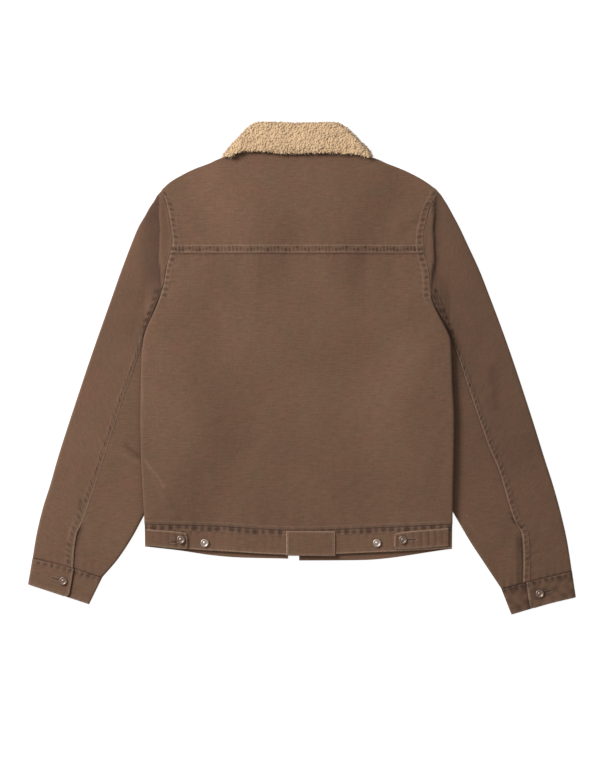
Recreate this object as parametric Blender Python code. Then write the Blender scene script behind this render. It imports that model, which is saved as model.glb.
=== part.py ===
"""A canvas work jacket with a fleece collar, lying face down on a flat surface with its back upwards.

+X runs from the wearer's left sleeve to the right one, +Y runs from the hem to the collar and +Z is up.
Sizes in the tables are millimetres on the cutting plan, whose zero is the middle of the hem. The finished part
is moved so that the middle of its footprint, on the surface it lies on, is the origin.
"""

import bmesh
import bpy
import numpy as np
from mathutils import Matrix

MM = 0.001

# Driving sizes, in millimetres.
BODY_WALL = 4.0  # canvas with the pile lining bonded behind it
BODY_STACK = 11.0  # back and front together, with the air between them
NECK_STACK = 8.8
HEM_STACK = 9.0
SLEEVE_WALL = 4.0
SLEEVE_STACK = 11.0
BAND_WALL = 3.4  # two plies of canvas, felled
CUFF_STACK = 7.4
FLEECE = 7.0
UNDER_COLLAR = 1.6
TAB = 2.4
PATCH = 1.8
SEAM = 0.4  # air left between pieces that are sewn together
PLATE_AIR = 0.8  # under the tabs and the patch, which bridge the band's curve
LIFT_SIDE = 13.2  # the body's sides lie on the sleeves
LIFT_LEAF = 10.2  # the fronts lie on the collar's two leaves
SIDE_SLOPE = 120.0
LEAF_SLOPE = 80.0
RIDGE = 3.4  # the roll of cloth beside each armhole seam
VALLEY = 1.9  # the hollow outside that roll
ROLL_X = 232.4
ROLL_TOP = 620.0
ROLL_END = 452.0
ARMHOLE_GAP = 1.2
ARMHOLE_TOP = 619.6
ARMHOLE_END = 441.2
CENTRE = (7.6, 319.0)  # the footprint's middle on the cutting plan
FOLD_STEPS = 2
FOLD = np.linspace(0.0, np.pi / 2.0, FOLD_STEPS + 1)  # a quarter turn round a folded edge

# Shoulders, armholes and sides of the body. x of the left and right edge at each y, from the neck to the hem.
EDGE_ROWS = (
    # y, left, right
    (700.0, -88.0, 90.0),
    (690.0, -101.0, 102.8),
    (682.0, -111.0, 113.0),
    (678.4, -115.5, 116.5),
    (677.0, -127.5, 128.0),
    (667.2, -150.4, 152.2),
    (657.9, -176.6, 177.6),
    (648.5, -196.0, 198.0),
    (637.8, -214.6, 216.8),
    (628.4, -225.6, 229.8),
    (620.5, -232.2, 238.8),
    (605.2, -225.2, 231.9),
    (588.0, -220.6, 224.2),
    (567.8, -216.8, 219.0),
    (552.5, -214.5, 215.4),
    (535.5, -212.8, 214.4),
    (514.5, -216.6, 216.0),
    (496.4, -221.8, 221.2),
    (477.7, -225.2, 224.4),
    (460.0, -228.6, 225.6),
    (442.0, -232.9, 226.4),
    (417.0, -242.8, 236.4),
    (384.0, -257.0, 253.4),
    (367.0, -261.8, 259.8),
    (343.0, -264.3, 261.4),
    (300.0, -265.8, 262.8),
    (231.0, -266.6, 266.1),
    (163.0, -265.2, 265.2),
    (112.0, -262.6, 264.0),
    (54.4, -259.9, 263.3),
    (14.0, -259.2, 262.6),
)
SHOULDER_Y = 620.5
UNDERARM_Y = 442.0
YOKE_Y = 515.0
HEM_SEAM = (
    # x, y
    (-260.0, 54.4), (-197.0, 52.4), (-132.0, 50.0), (-21.0, 43.4), (5.0, 43.2), (135.0, 47.5), (263.0, 54.0),
)
BACK_HEM = ((-260.0, 17.0), (-130.0, 8.0), (0.0, 1.7), (130.0, 6.0), (263.0, 13.0))
FRONT_HEM = (
    # x, y
    (-260.0, 16.0), (-200.0, 9.0), (-144.0, 0.6), (-96.0, -3.2), (-16.0, -5.2), (3.0, -8.2), (106.0, -7.6),
    (263.0, 12.0),
)
FRONT_EDGE = (-15.8, 2.8)  # the two front edges, parted as at the hem
NECK_LINE = (
    # y, how far the fronts fall back from their edges
    (625.0, 0.0), (640.0, 16.0), (660.0, 44.0), (680.0, 76.0), (692.0, 94.0),
)
PLACKET = 44.0
FACING_TOP = 645.0  # above this level the front's edge is the neckline and has no facing
FACING_FADE = 38.0
FACING_END = 658.0
NECK_BOW = 5.0  # the back neck seam dips this much in the middle
BOW_FROM = 640.0
FOLLOW = 60.0  # levels nearer to a seam than this bend towards its line

# Height of the body's sides over the surface, and the inner edge of what they lie on.
SIDE_ROWS = (
    # y, share of the lift, left x, right x
    (0.0, 0.15, -250.0, 252.0),
    (54.0, 0.92, -250.0, 252.0),
    (66.0, 1.0, -249.0, 253.0),
    (78.0, 1.0, -246.0, 252.0),
    (144.0, 1.0, -211.0, 216.0),
    (204.0, 1.0, -178.0, 187.0),
    (240.0, 1.0, -178.0, 187.0),
    (282.0, 1.0, -195.0, 201.0),
    (325.0, 1.0, -219.0, 223.0),
    (359.0, 1.0, -242.0, 243.0),
    (386.0, 1.0, -250.0, 250.0),
    (442.0, 0.72, -233.0, 227.0),
    (480.0, 0.35, -225.0, 226.0),
    (520.0, 0.08, -216.0, 216.0),
    (545.0, 0.0, -213.0, 215.0),
)
LEAF_OUTLINE = ((-132.0, 682.0), (-62.0, 540.0), (0.0, 618.0), (0.0, 706.0), (-84.0, 738.0))

# Each sleeve, a row for each section from the armhole to the cuff: its outer fold, its back seam, its inner
# fold, how much of the armhole's curve it keeps, and how much of the armhole's lift.
SLEEVE_LEFT = (
    # outer x, y, seam x, y, inner x, y, bow, rise
    (-230.3, 619.6, -231.6, 451.5, -233.7, 441.2, 1.0, 1.0),
    (-236.6, 611.5, -241.0, 438.5, -237.6, 431.5, 0.92, 0.86),
    (-241.0, 604.0, -246.8, 425.3, -241.4, 420.6, 0.80, 0.66),
    (-249.6, 592.5, -252.2, 412.8, -245.8, 408.0, 0.64, 0.42),
    (-257.4, 579.5, -257.0, 398.3, -250.4, 394.0, 0.46, 0.2),
    (-270.0, 559.0, -261.0, 382.0, -254.6, 378.0, 0.28, 0.0),
    (-283.5, 527.5, -264.8, 360.0, -252.0, 359.0, 0.14, 0.0),
    (-299.0, 488.0, -271.5, 338.3, -229.0, 325.0, 0.0, 0.0),
    (-316.0, 440.0, -283.6, 304.0, -205.0, 283.0, 0.0, 0.0),
    (-335.8, 384.2, -297.0, 266.0, -189.0, 243.0, 0.0, 0.0),
    (-354.0, 332.0, -311.5, 222.0, -187.0, 206.0, 0.0, 0.0),
    (-371.0, 281.0, -328.0, 171.0, -203.0, 169.0, 0.0, 0.0),
    (-389.5, 225.0, -341.2, 129.2, -222.0, 136.0, 0.0, 0.0),
    (-407.0, 170.0, -352.0, 97.0, -242.0, 102.0, 0.0, 0.0),
    (-421.0, 121.0, -365.0, 60.0, -262.0, 67.0, 0.0, 0.0),
    (-434.2, 79.0, -376.5, 35.0, -281.0, 32.0, 0.0, 0.0),
    (-444.8, 34.0, -380.5, 7.0, -306.0, -6.0, 0.0, 0.0),
    (-451.0, -3.4, -382.3, -20.4, -332.3, -36.7, 0.0, 0.0),
)
SLEEVE_RIGHT = (
    # outer x, y, seam x, y, inner x, y, bow, rise
    (239.0, 619.6, 226.7, 452.0, 227.2, 441.2, 1.0, 1.0),
    (244.0, 612.5, 236.0, 441.0, 231.8, 431.5, 0.92, 0.86),
    (249.0, 605.0, 242.2, 428.0, 235.6, 420.0, 0.80, 0.66),
    (255.5, 595.0, 248.0, 414.6, 240.6, 407.5, 0.64, 0.42),
    (264.0, 580.0, 253.0, 399.4, 246.4, 392.5, 0.46, 0.2),
    (275.5, 559.0, 259.4, 380.0, 252.8, 375.0, 0.28, 0.0),
    (290.5, 527.5, 268.0, 356.0, 252.0, 353.0, 0.14, 0.0),
    (309.0, 488.0, 277.5, 328.4, 233.0, 320.0, 0.0, 0.0),
    (328.2, 439.0, 287.8, 296.0, 211.0, 278.0, 0.0, 0.0),
    (348.8, 384.2, 298.8, 263.0, 197.5, 237.0, 0.0, 0.0),
    (367.2, 332.0, 311.4, 226.0, 196.5, 198.0, 0.0, 0.0),
    (385.8, 276.0, 326.4, 184.0, 212.0, 164.0, 0.0, 0.0),
    (403.2, 222.0, 345.0, 139.0, 230.5, 132.0, 0.0, 0.0),
    (421.2, 164.0, 356.0, 100.0, 252.0, 95.0, 0.0, 0.0),
    (435.0, 121.0, 369.2, 60.0, 273.0, 60.0, 0.0, 0.0),
    (448.6, 72.0, 382.5, 33.0, 294.0, 24.0, 0.0, 0.0),
    (459.8, 22.0, 384.5, -5.0, 319.0, -14.0, 0.0, 0.0),
    (467.2, -25.5, 384.0, -45.9, 346.8, -55.8, 0.0, 0.0),
)

# The collar, a row for each section along its roll: the fold, the fall's edge on the back, the edge below.
COLLAR_ROWS = (
    # roll x, y, fall x, y, under x, y
    (-127.8, 678.4, -113.0, 677.2, -113.0, 668.0),
    (-117.4, 693.0, -104.0, 685.0, -87.0, 604.0),
    (-105.2, 706.4, -91.0, 687.3, -60.4, 545.7),
    (-92.0, 721.0, -78.0, 687.6, -40.0, 572.0),
    (-78.0, 733.8, -64.0, 687.4, -22.0, 598.0),
    (-62.0, 738.2, -50.0, 687.2, -3.6, 623.5),
    (-32.0, 738.0, -27.0, 684.0, -18.0, 672.0),
    (0.5, 736.8, 0.5, 684.2, 0.5, 697.0),
    (32.0, 737.4, 28.0, 684.8, 14.0, 672.0),
    (62.0, 737.6, 52.0, 685.3, 4.6, 623.5),
    (80.0, 731.4, 66.0, 684.8, 24.0, 598.0),
    (94.0, 718.6, 80.0, 683.6, 42.0, 572.0),
    (107.4, 704.2, 92.0, 683.0, 61.4, 545.7),
    (120.0, 691.6, 105.2, 682.0, 88.0, 604.0),
    (128.3, 678.4, 113.5, 677.2, 114.0, 668.0),
)
ROLL_HEIGHT = 19.6
NECK_HEIGHT = 32.4
ROLL_DEPTH = 44.0
FOLD_REACH = 11.0
COLLAR_AIR = 0.5
COLLAR_ENDS = 1.5  # rows over which the fold turns to run straight across at each end
LOOK = 0.6  # rows looked back and ahead for the roll's direction

CUFFS = {
    # name: share of the width at which the lapped end lies at the seam and at the edge; seam; lower edge
    "cuff_left": ((0.59, 0.67),
                  ((-451.0, -3.4), (-382.3, -20.4), (-332.3, -36.7)),
                  ((-458.8, -48.4), (-400.0, -67.6), (-354.8, -82.6))),
    "cuff_right": ((0.65, 0.71),
                   ((467.2, -25.5), (384.0, -45.9), (346.8, -55.8)),
                   ((474.0, -70.4), (430.3, -80.9), (364.3, -100.2))),
}
CUFF_UNDER = 0.36  # share of the width at which the strip's hidden end lies
CUFF_LOW = BAND_WALL / 2.0  # heights of the strip's middle on the floor, over the wrist and on top of the lap
CUFF_HIGH = CUFF_LOW + CUFF_STACK - BAND_WALL
CUFF_TOP = CUFF_HIGH + BAND_WALL + SEAM
PLATES = {
    # name: thickness, lower edge, upper edge
    "tab_left": (TAB, ((-256.0, 17.8), (-190.0, 11.8), (-186.4, 19.0)),
                 ((-256.0, 46.4), (-190.0, 39.6), (-186.4, 32.0))),
    "tab_right": (TAB, ((163.8, 18.0), (167.0, 11.2), (256.0, 17.0)),
                  ((163.8, 32.0), (167.0, 39.0), (256.0, 48.4))),
    "hem_patch": (PATCH, ((-19.6, 0.4), (64.6, -0.4)), ((-19.6, 43.0), (64.6, 42.4))),
}
BUTTON_RADIUS = 7.0
BUTTON_HEIGHT = 3.4
BUTTONS = {
    "button_tab_left": (-198.0, 28.4),
    "button_hem_left": (-157.9, 22.1),
    "button_tab_right": (178.8, 27.9),
    "button_hem_right": (135.2, 22.1),
    "button_cuff_left": (-398.6, -42.5),
    "button_cuff_right": (411.7, -63.9),
}
BUTTON_SEAT = 0.4
BUTTON_SIDES = 12
BUTTON_PROFILE = (
    # share of the radius, share of the height
    (0.45, 0.0), (0.5, 0.25), (1.0, 0.45), (0.93, 0.9), (0.68, 1.0), (0.5, 0.86),
)

MATERIALS = {
    # name: colour, roughness, metallic
    "canvas": ((0.165, 0.092, 0.061, 1.0), 0.9, 0.0),
    "fleece": ((0.584, 0.397, 0.231, 1.0), 1.0, 0.0),
    "metal": ((0.62, 0.50, 0.42, 1.0), 0.42, 1.0),
}


def clear_scene():
    for old in list(bpy.data.objects):
        bpy.data.objects.remove(old)


def material(name):
    made = bpy.data.materials.get(name)
    if made is None:
        colour, roughness, metallic = MATERIALS[name]
        made = bpy.data.materials.new(name)
        made.use_nodes = True
        shader = made.node_tree.nodes["Principled BSDF"]
        shader.inputs["Base Color"].default_value = colour
        shader.inputs["Roughness"].default_value = roughness
        shader.inputs["Metallic"].default_value = metallic
    return made


def smooth(t):
    t = np.clip(t, 0.0, 1.0)
    return t * t * (3.0 - 2.0 * t)


def along(rows, column, y):
    """A column of a table whose first column falls from row to row, read at y."""
    table = np.array(rows)[::-1]
    return np.interp(y, table[:, 0], table[:, column])


def line(points, x):
    table = np.array(points)
    return np.interp(x, table[:, 0], table[:, 1])


def outside(x, y, outline):
    """About how far a place lies outside a convex outline that runs anticlockwise."""
    far = np.full(np.broadcast(x, y).shape, -1.0e9)
    count = len(outline)
    for i in range(count):
        (ax, ay), (bx, by) = outline[i], outline[(i + 1) % count]
        length = np.hypot(bx - ax, by - ay)
        far = np.maximum(far, ((by - ay) * (x - ax) - (bx - ax) * (y - ay)) / length)
    return np.maximum(far, 0.0)


def side_share(y):
    table = np.array(SIDE_ROWS)
    return np.interp(y, table[:, 0], table[:, 1])


def lift(x, y):
    """Height of the body's underside: over the sleeves at the sides, over the collar's leaves at the neck."""
    table = np.array(SIDE_ROWS)
    left = np.interp(y, table[:, 0], table[:, 2])
    right = np.interp(y, table[:, 0], table[:, 3])
    near_left = smooth((left + SIDE_SLOPE - x) / SIDE_SLOPE)
    near_right = smooth((x - right + SIDE_SLOPE) / SIDE_SLOPE)
    sides = LIFT_SIDE * side_share(y) * np.maximum(near_left, near_right)
    leaf = np.minimum(outside(x, y, LEAF_OUTLINE), outside(-x, y, LEAF_OUTLINE))
    neck = LIFT_LEAF * smooth(1.0 - leaf / LEAF_SLOPE)
    return np.maximum(sides, neck)


def stack(y):
    """Thickness of the whole body, less at the neck and at the hem."""
    levels = (0.0, 54.0, 120.0, 640.0, 690.0)
    return np.interp(y, levels, (HEM_STACK, HEM_STACK, BODY_STACK, BODY_STACK, NECK_STACK))


def solid(name, outer, inner, finish):
    """One closed body between an outer and an inner grid of points, in millimetres on the cutting plan."""
    rows, columns = outer.shape[:2]
    shift = np.array((CENTRE[0], CENTRE[1], 0.0))
    points = np.concatenate([(outer - shift).reshape(-1, 3), (inner - shift).reshape(-1, 3)]) * MM
    far = rows * columns
    faces = []
    for i in range(rows - 1):
        for j in range(columns - 1):
            a, b = i * columns + j, i * columns + j + 1
            c, d = b + columns, a + columns
            faces += [(a, b, c), (a, c, d)]
            faces += [(far + c, far + b, far + a), (far + d, far + c, far + a)]
    rim = [(0, j, 0, j + 1) for j in range(columns - 1)]
    rim += [(i, columns - 1, i + 1, columns - 1) for i in range(rows - 1)]
    rim += [(rows - 1, j + 1, rows - 1, j) for j in reversed(range(columns - 1))]
    rim += [(i + 1, 0, i, 0) for i in reversed(range(rows - 1))]
    for i, j, k, m in rim:
        a, b = i * columns + j, k * columns + m
        faces.append((b, a, far + a, far + b))
    mesh = bpy.data.meshes.new(name)
    mesh.from_pydata([tuple(p) for p in points], [], faces)
    work = bmesh.new()
    work.from_mesh(mesh)
    bmesh.ops.recalc_face_normals(work, faces=work.faces)
    work.to_mesh(mesh)
    work.free()
    mesh.materials.append(material(finish))
    made = bpy.data.objects.new(name, mesh)
    bpy.context.collection.objects.link(made)
    mesh.shade_smooth()
    mesh.set_sharp_from_angle(angle=0.7)
    return made


def across(width, thick, wall, fold_left, fold_right, inner, count):
    """Section of one ply: distance from the left edge, and height over the stack's middle."""
    radius = thick / 2.0
    deep = radius - wall if inner else radius
    round_in = radius - deep * np.cos(FOLD)
    height = deep * np.sin(FOLD)
    cut = radius - radius * np.cos(FOLD)
    left = round_in * fold_left + cut * (1.0 - fold_left)
    right = round_in * fold_right + cut * (1.0 - fold_right)
    left_z = height * fold_left + deep * (1.0 - fold_left)
    right_z = height * fold_right + deep * (1.0 - fold_right)
    middle = np.linspace(radius, width - radius, count + 2)[1:-1]
    reach = np.concatenate([left, middle, (width - right)[::-1]])
    return reach, np.concatenate([left_z, np.full(count, deep), right_z[::-1]])


def fold_share(y):
    """1 where the body's edge is a fold, 0 along the open armhole."""
    above = smooth((y - SHOULDER_Y + 2.0) / 6.0)
    below = smooth((UNDERARM_Y - y) / 20.0)
    return np.maximum(above, below)


def body_edges(y):
    return along(EDGE_ROWS, 1, y), along(EDGE_ROWS, 2, y)


def follow(place, x, y, last, seam):
    """Bends the levels near a piece's lower end until the last one runs along the seam."""
    blend = smooth((last + FOLLOW - y) / FOLLOW)
    return place * (1.0 - blend) + (line(seam, x) + SEAM / 2.0 + (y - last)) * blend


def back_ply(name, levels, bottom=None, bow=0.0, count=15):
    """A back piece from the first level of y to the last, its lower end following a seam if one is given."""
    outer, inner = [], []
    for y in levels:
        left, right = body_edges(y)
        t_fold = fold_share(y)
        for rows, is_inner in ((outer, False), (inner, True)):
            reach, height = across(right - left, stack(y), BODY_WALL, t_fold, t_fold, is_inner, count)
            x = left + reach
            share = (x - left) / (right - left)
            place = np.full_like(x, y) - bow * smooth((y - BOW_FROM) / FOLLOW) * np.sin(np.pi * share)
            if bottom is not None:
                place = follow(place, x, y, levels[-1], bottom)
            z = lift(x, place) + stack(y) / 2.0 + np.maximum(height, SEAM / 2.0)
            rows.append(np.stack([x, place, z], axis=1))
    return solid(name, np.array(outer), np.array(inner), "canvas")


def front_x(side, y):
    """x of a front's free edge: the centre edge below the neck, the neckline above it."""
    table = np.array(NECK_LINE)
    back_off = np.interp(y, table[:, 0], table[:, 1])
    edge = FRONT_EDGE[0] if side < 0 else FRONT_EDGE[1]
    return edge + side * back_off


def front_ply(name, side, levels, bottom, count, is_facing):
    """A front piece under the back: the panel from the side fold, or the facing along its front edge."""
    outer, inner = [], []
    for y in levels:
        edges = body_edges(y)
        edge = edges[0] if side < 0 else edges[1]
        facing = PLACKET * smooth((FACING_END - y) / FACING_FADE)
        free = front_x(side, y) + side * (0.0 if is_facing or y > FACING_TOP else facing + SEAM)
        start = front_x(side, y) + side * facing if is_facing else edge
        t_fold = 0.0 if is_facing else fold_share(y)
        for rows, is_inner in ((outer, False), (inner, True)):
            reach, height = across(abs(free - start), stack(y), BODY_WALL, t_fold, 0.0, is_inner, count)
            x = start - side * reach
            place = follow(np.full_like(x, y), x, y, levels[-1], bottom)
            z = lift(x, place) + stack(y) / 2.0 - np.maximum(height, SEAM / 2.0)
            rows.append(np.stack([x, place, z], axis=1))
    return solid(name, np.array(outer), np.array(inner), "canvas")


def band(name, side_from, side_to, top, bottom, upper, folds, count):
    """A hem band: four rows from the seam to its edge, folded at a side where folds says so."""
    outer, inner = [], []
    for share in (0.0, 0.12, 0.5, 0.88, 1.0):
        for rows, is_inner in ((outer, False), (inner, True)):
            width = abs(side_to - side_from)
            reach, height = across(width, HEM_STACK, BAND_WALL, folds[0], folds[1], is_inner, count)
            x = side_from + np.sign(side_to - side_from) * reach
            y = (line(top, x) - SEAM / 2.0) * (1.0 - share) + line(bottom, x) * share
            z = lift(x, y) + HEM_STACK / 2.0 + (1.0 if upper else -1.0) * np.maximum(height, SEAM / 2.0)
            rows.append(np.stack([x, y, z], axis=1))
    return solid(name, np.array(outer), np.array(inner), "canvas")


def make_body():
    yoke_levels = (696.0, 687.0, 678.4, 677.0, 667.2, 648.5, 637.8, 628.4, 620.5, 588.0, 552.5, 535.5,
                   YOKE_Y + SEAM / 2.0)
    panel_levels = (YOKE_Y - SEAM / 2.0, 496.4, 477.7, 460.0, 442.0, 430.0, 417.0, 384.0, 367.0, 343.0, 300.0,
                    240.0, 190.0, 144.0, 112.0, 78.0, 54.0)
    back_ply("back_yoke", yoke_levels, bow=NECK_BOW)
    back_ply("back_panel", panel_levels, bottom=HEM_SEAM)
    front_levels = (677.0, 667.2, 648.5, 641.0, 637.8, 628.4, 620.5, 588.0, 552.5, 535.5, 514.5, 496.4, 477.7,
                    460.0, 442.0, 430.0, 417.0, 384.0, 367.0, 343.0, 300.0, 240.0, 190.0, 144.0, 112.0,
                    78.0, 54.0)
    placket_levels = (640.0, 620.5, 588.0, 552.5, 520.0, 470.0, 400.0, 300.0, 200.0, 112.0, 54.0)
    for side, word in ((-1, "left"), (1, "right")):
        front_ply(f"front_{word}", side, front_levels, HEM_SEAM, 5, False)
        front_ply(f"placket_{word}", side, placket_levels, HEM_SEAM, 1, True)


def make_hem():
    left, right = body_edges(30.0)
    band("hem_band_back", left, right, HEM_SEAM, BACK_HEM, True, (1.0, 1.0), 20)
    band("hem_band_front_left", left, FRONT_EDGE[0], HEM_SEAM, FRONT_HEM, False, (1.0, 0.0), 9)
    band("hem_band_front_right", right, FRONT_EDGE[1], HEM_SEAM, FRONT_HEM, False, (1.0, 0.0), 9)


def armhole(side, share):
    """The armhole from the shoulder, 0, to the underarm, 1, just outside the body's edge."""
    y = np.linspace(ARMHOLE_TOP, ARMHOLE_END, 60)
    x = along(EDGE_ROWS, 1 if side < 0 else 2, y) + side * ARMHOLE_GAP
    travelled = np.concatenate([[0.0], np.cumsum(np.hypot(np.diff(x), np.diff(y)))])
    travelled /= travelled[-1]
    return np.interp(share, travelled, x), np.interp(share, travelled, y)


def sleeve_place(side, row, first, share):
    """The plan of a sleeve's section at each share of its width."""
    def bent(r):
        lengths = np.array([np.hypot(r[2] - r[0], r[3] - r[1]), np.hypot(r[4] - r[2], r[5] - r[3])])
        stops = (0, lengths[0] / lengths.sum(), 1)
        return np.interp(share, stops, (r[0], r[2], r[4])), np.interp(share, stops, (r[1], r[3], r[5]))
    x, y = bent(row)
    x0, y0 = bent(first)
    ax, ay = armhole(side, share)
    return x + row[6] * (ax - x0), y + row[6] * (ay - y0)


def section_size(row):
    to_seam = np.hypot(row[2] - row[0], row[3] - row[1])
    return to_seam, to_seam + np.hypot(row[4] - row[2], row[5] - row[3])


def sleeve_roll(x, y):
    """The roll of cloth beside the armhole: a soft swell, and the hollow outside it."""
    out = np.abs(x) - ROLL_X
    swell = smooth((out + 15.0) / 12.0) * smooth((1.5 - out) / 4.5)
    hollow = smooth((out + 1.0) / 4.0) * smooth((30.0 - out) / 27.0)
    where = smooth((ROLL_TOP - y) / 14.0) * smooth((y - ROLL_END) / 26.0)
    return (RIDGE * swell - VALLEY * hollow) * where


def sleeve_half(name, side, rows, outer_half, count):
    """The upper sleeve holds the outer fold and the under sleeve the inner one; both reach the two seams."""
    outer, inner = [], []
    first = rows[0]
    for k, row in enumerate(rows):
        to_seam, width = section_size(row)
        thick = np.interp(k, (0, len(rows) - 4, len(rows) - 1), (SLEEVE_STACK, SLEEVE_STACK, HEM_STACK))
        radius = thick / 2.0
        near = to_seam if outer_half else width - to_seam
        for grid, is_inner in ((outer, False), (inner, True)):
            deep = radius - SLEEVE_WALL if is_inner else radius
            turn = np.linspace(-np.pi / 2.0, np.pi / 2.0, 2 * FOLD_STEPS + 1)
            flat = np.linspace(near - SEAM / 2.0, radius, count + 1)[:-1]
            reach = np.concatenate([flat, radius - deep * np.cos(turn), flat[::-1]])
            height = np.concatenate([np.full(count, -deep), deep * np.sin(turn), np.full(count, deep)])
            share = (reach if outer_half else width - reach) / width
            x, y = sleeve_place(side, row, first, share)
            base = LIFT_SIDE * side_share(y) * row[7]
            roll = sleeve_roll(x, y) * (height > 0)
            grid.append(np.stack([x, y, base + radius + height + roll], axis=1))
    return solid(name, np.array(outer), np.array(inner), "canvas")


def make_sleeves():
    for side, word, rows in ((-1, "left", SLEEVE_LEFT), (1, "right", SLEEVE_RIGHT)):
        sleeve_half(f"sleeve_upper_{word}", side, rows, True, 8)
        sleeve_half(f"sleeve_under_{word}", side, rows, False, 4)


def make_cuff(name, laps, seam, edge):
    """A strip wound once round the wrist, from its lapped end on top to its hidden end."""
    seam, edge = np.array(seam), np.array(edge)
    half = BAND_WALL / 2.0
    width = np.mean([np.hypot(*(points[-1] - points[0])) for points in (seam, edge)])
    down = edge.mean(axis=0) - seam.mean(axis=0)
    down /= np.linalg.norm(down)
    turn = np.linspace(np.pi / 2.0, 3.0 * np.pi / 2.0, 7)
    outer_bend = (CUFF_TOP - CUFF_LOW) / 2.0
    inner_bend = (CUFF_HIGH - CUFF_LOW) / 2.0
    lapped, floor_steps, hidden = 6, 8, 8
    outer, inner = [], []
    for share in (0.0, 0.1, 0.5, 0.9, 1.0):
        lap = np.interp(share, (0.0, 1.0), laps) * width
        for grid, offset in ((outer, half), (inner, -half)):
            start = np.linspace(lap, outer_bend + half, lapped + 1)[:-1]
            floor = np.linspace(outer_bend + half, width - inner_bend - half, floor_steps + 2)[1:-1]
            end = np.linspace(width - inner_bend - half, CUFF_UNDER * width, hidden + 1)[1:]
            reach = np.concatenate([start,
                                    outer_bend + half + (outer_bend + offset) * np.cos(turn),
                                    floor,
                                    width - inner_bend - half - (inner_bend + offset) * np.cos(turn),
                                    end])
            height = np.concatenate([np.full(lapped, CUFF_TOP + offset),
                                     outer_bend + CUFF_LOW + (outer_bend + offset) * np.sin(turn),
                                     np.full(floor_steps, CUFF_LOW - offset),
                                     inner_bend + CUFF_LOW + (inner_bend + offset) * np.sin(turn[::-1]),
                                     np.full(hidden, CUFF_HIGH + offset)])
            at_seam, at_edge = (spread(points, reach / width) for points in (seam, edge))
            place = at_seam * (1.0 - share) + at_edge * share + down * SEAM * (1.0 - share)
            grid.append(np.column_stack([place, height]))
    return solid(name, np.array(outer), np.array(inner), "canvas")


def spread(points, share):
    """Places at shares of the length of a broken line."""
    steps = np.hypot(*np.diff(points, axis=0).T)
    at = np.concatenate([[0.0], np.cumsum(steps)]) / steps.sum()
    return np.column_stack([np.interp(share, at, points[:, 0]), np.interp(share, at, points[:, 1])])


def collar_place(k):
    """The collar's row at a place between rows, with the places a little before and after it."""
    table = np.array(COLLAR_ROWS)
    at = range(len(table))
    row = [np.interp(k, at, column) for column in table.T]
    before = [np.interp(max(k - LOOK, 0.0), at, column) for column in table.T[:2]]
    after = [np.interp(min(k + LOOK, len(table) - 1.0), at, column) for column in table.T[:2]]
    return np.array(row).reshape(3, 2), np.array(after) - np.array(before)


def collar_layer(name, near, far, finish):
    """A layer of the collar between two depths under its outer face, folded round the roll."""
    last = len(COLLAR_ROWS) - 1.0
    turn = np.linspace(np.pi / 2.0, -np.pi / 2.0, 2 * FOLD_STEPS + 1)
    t = np.linspace(1.0, 0.0, 4)[:-1, None]
    grids = []
    for depth in (near, far):
        grid = []
        for k in np.linspace(0.0, last, 3 * int(last) // 2 + 1):
            (roll, fall_edge, low_edge), way = collar_place(k)
            inward = np.array([way[1], -way[0]]) / np.linalg.norm(way)
            end = smooth(1.0 - min(k, last - k) / COLLAR_ENDS)
            inward = inward * (1.0 - end) + np.array([1.0 if k < last / 2.0 else -1.0, 0.0]) * end
            inward /= np.linalg.norm(inward)
            tall = top_of_fall(roll[1]) / 2.0
            shelf = roll + inward * FOLD_REACH
            fold = roll + np.outer(FOLD_REACH - (FOLD_REACH - depth) * np.cos(turn), inward)
            fold_z = tall + (tall - depth) * np.sin(turn)
            fall = shelf + (fall_edge - shelf) * t
            low = shelf + (low_edge - shelf) * t[::-1]
            fall_z = top_of_fall(fall[:, 1]) - top_of_fall(shelf[1]) + top_of_fall(roll[1]) - depth
            height = np.concatenate([fall_z, fold_z, np.full(len(low), depth)])
            grid.append(np.column_stack([np.concatenate([fall, fold, low]), height]))
        grids.append(np.array(grid))
    return solid(name, grids[0], grids[1], finish)


def top_of_fall(y):
    """Height of the fleece's outer face: low at the back roll, higher where it lies on the body."""
    rise = smooth((738.0 - y) / ROLL_DEPTH)
    return ROLL_HEIGHT + (NECK_HEIGHT - ROLL_HEIGHT) * rise


def make_collar():
    collar_layer("collar_fleece", 0.0, FLEECE, "fleece")
    collar_layer("collar_canvas", FLEECE + COLLAR_AIR, FLEECE + COLLAR_AIR + UNDER_COLLAR, "canvas")


def plate(name, thick, lower, upper):
    """A flat piece sewn on the hem band, following the band's face."""
    x = np.linspace(lower[0][0], lower[-1][0], 9)
    x = np.unique(np.concatenate([x, [p[0] for p in lower]]))
    low, high = [], []
    for share in (0.0, 0.5, 1.0):
        y = line(lower, x) * (1.0 - share) + line(upper, x) * share
        base = lift(x, y) + HEM_STACK + PLATE_AIR
        low.append(np.stack([x, y, base], axis=1))
        high.append(np.stack([x, y, base + thick], axis=1))
    return solid(name, np.array(high), np.array(low), "canvas")


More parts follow.
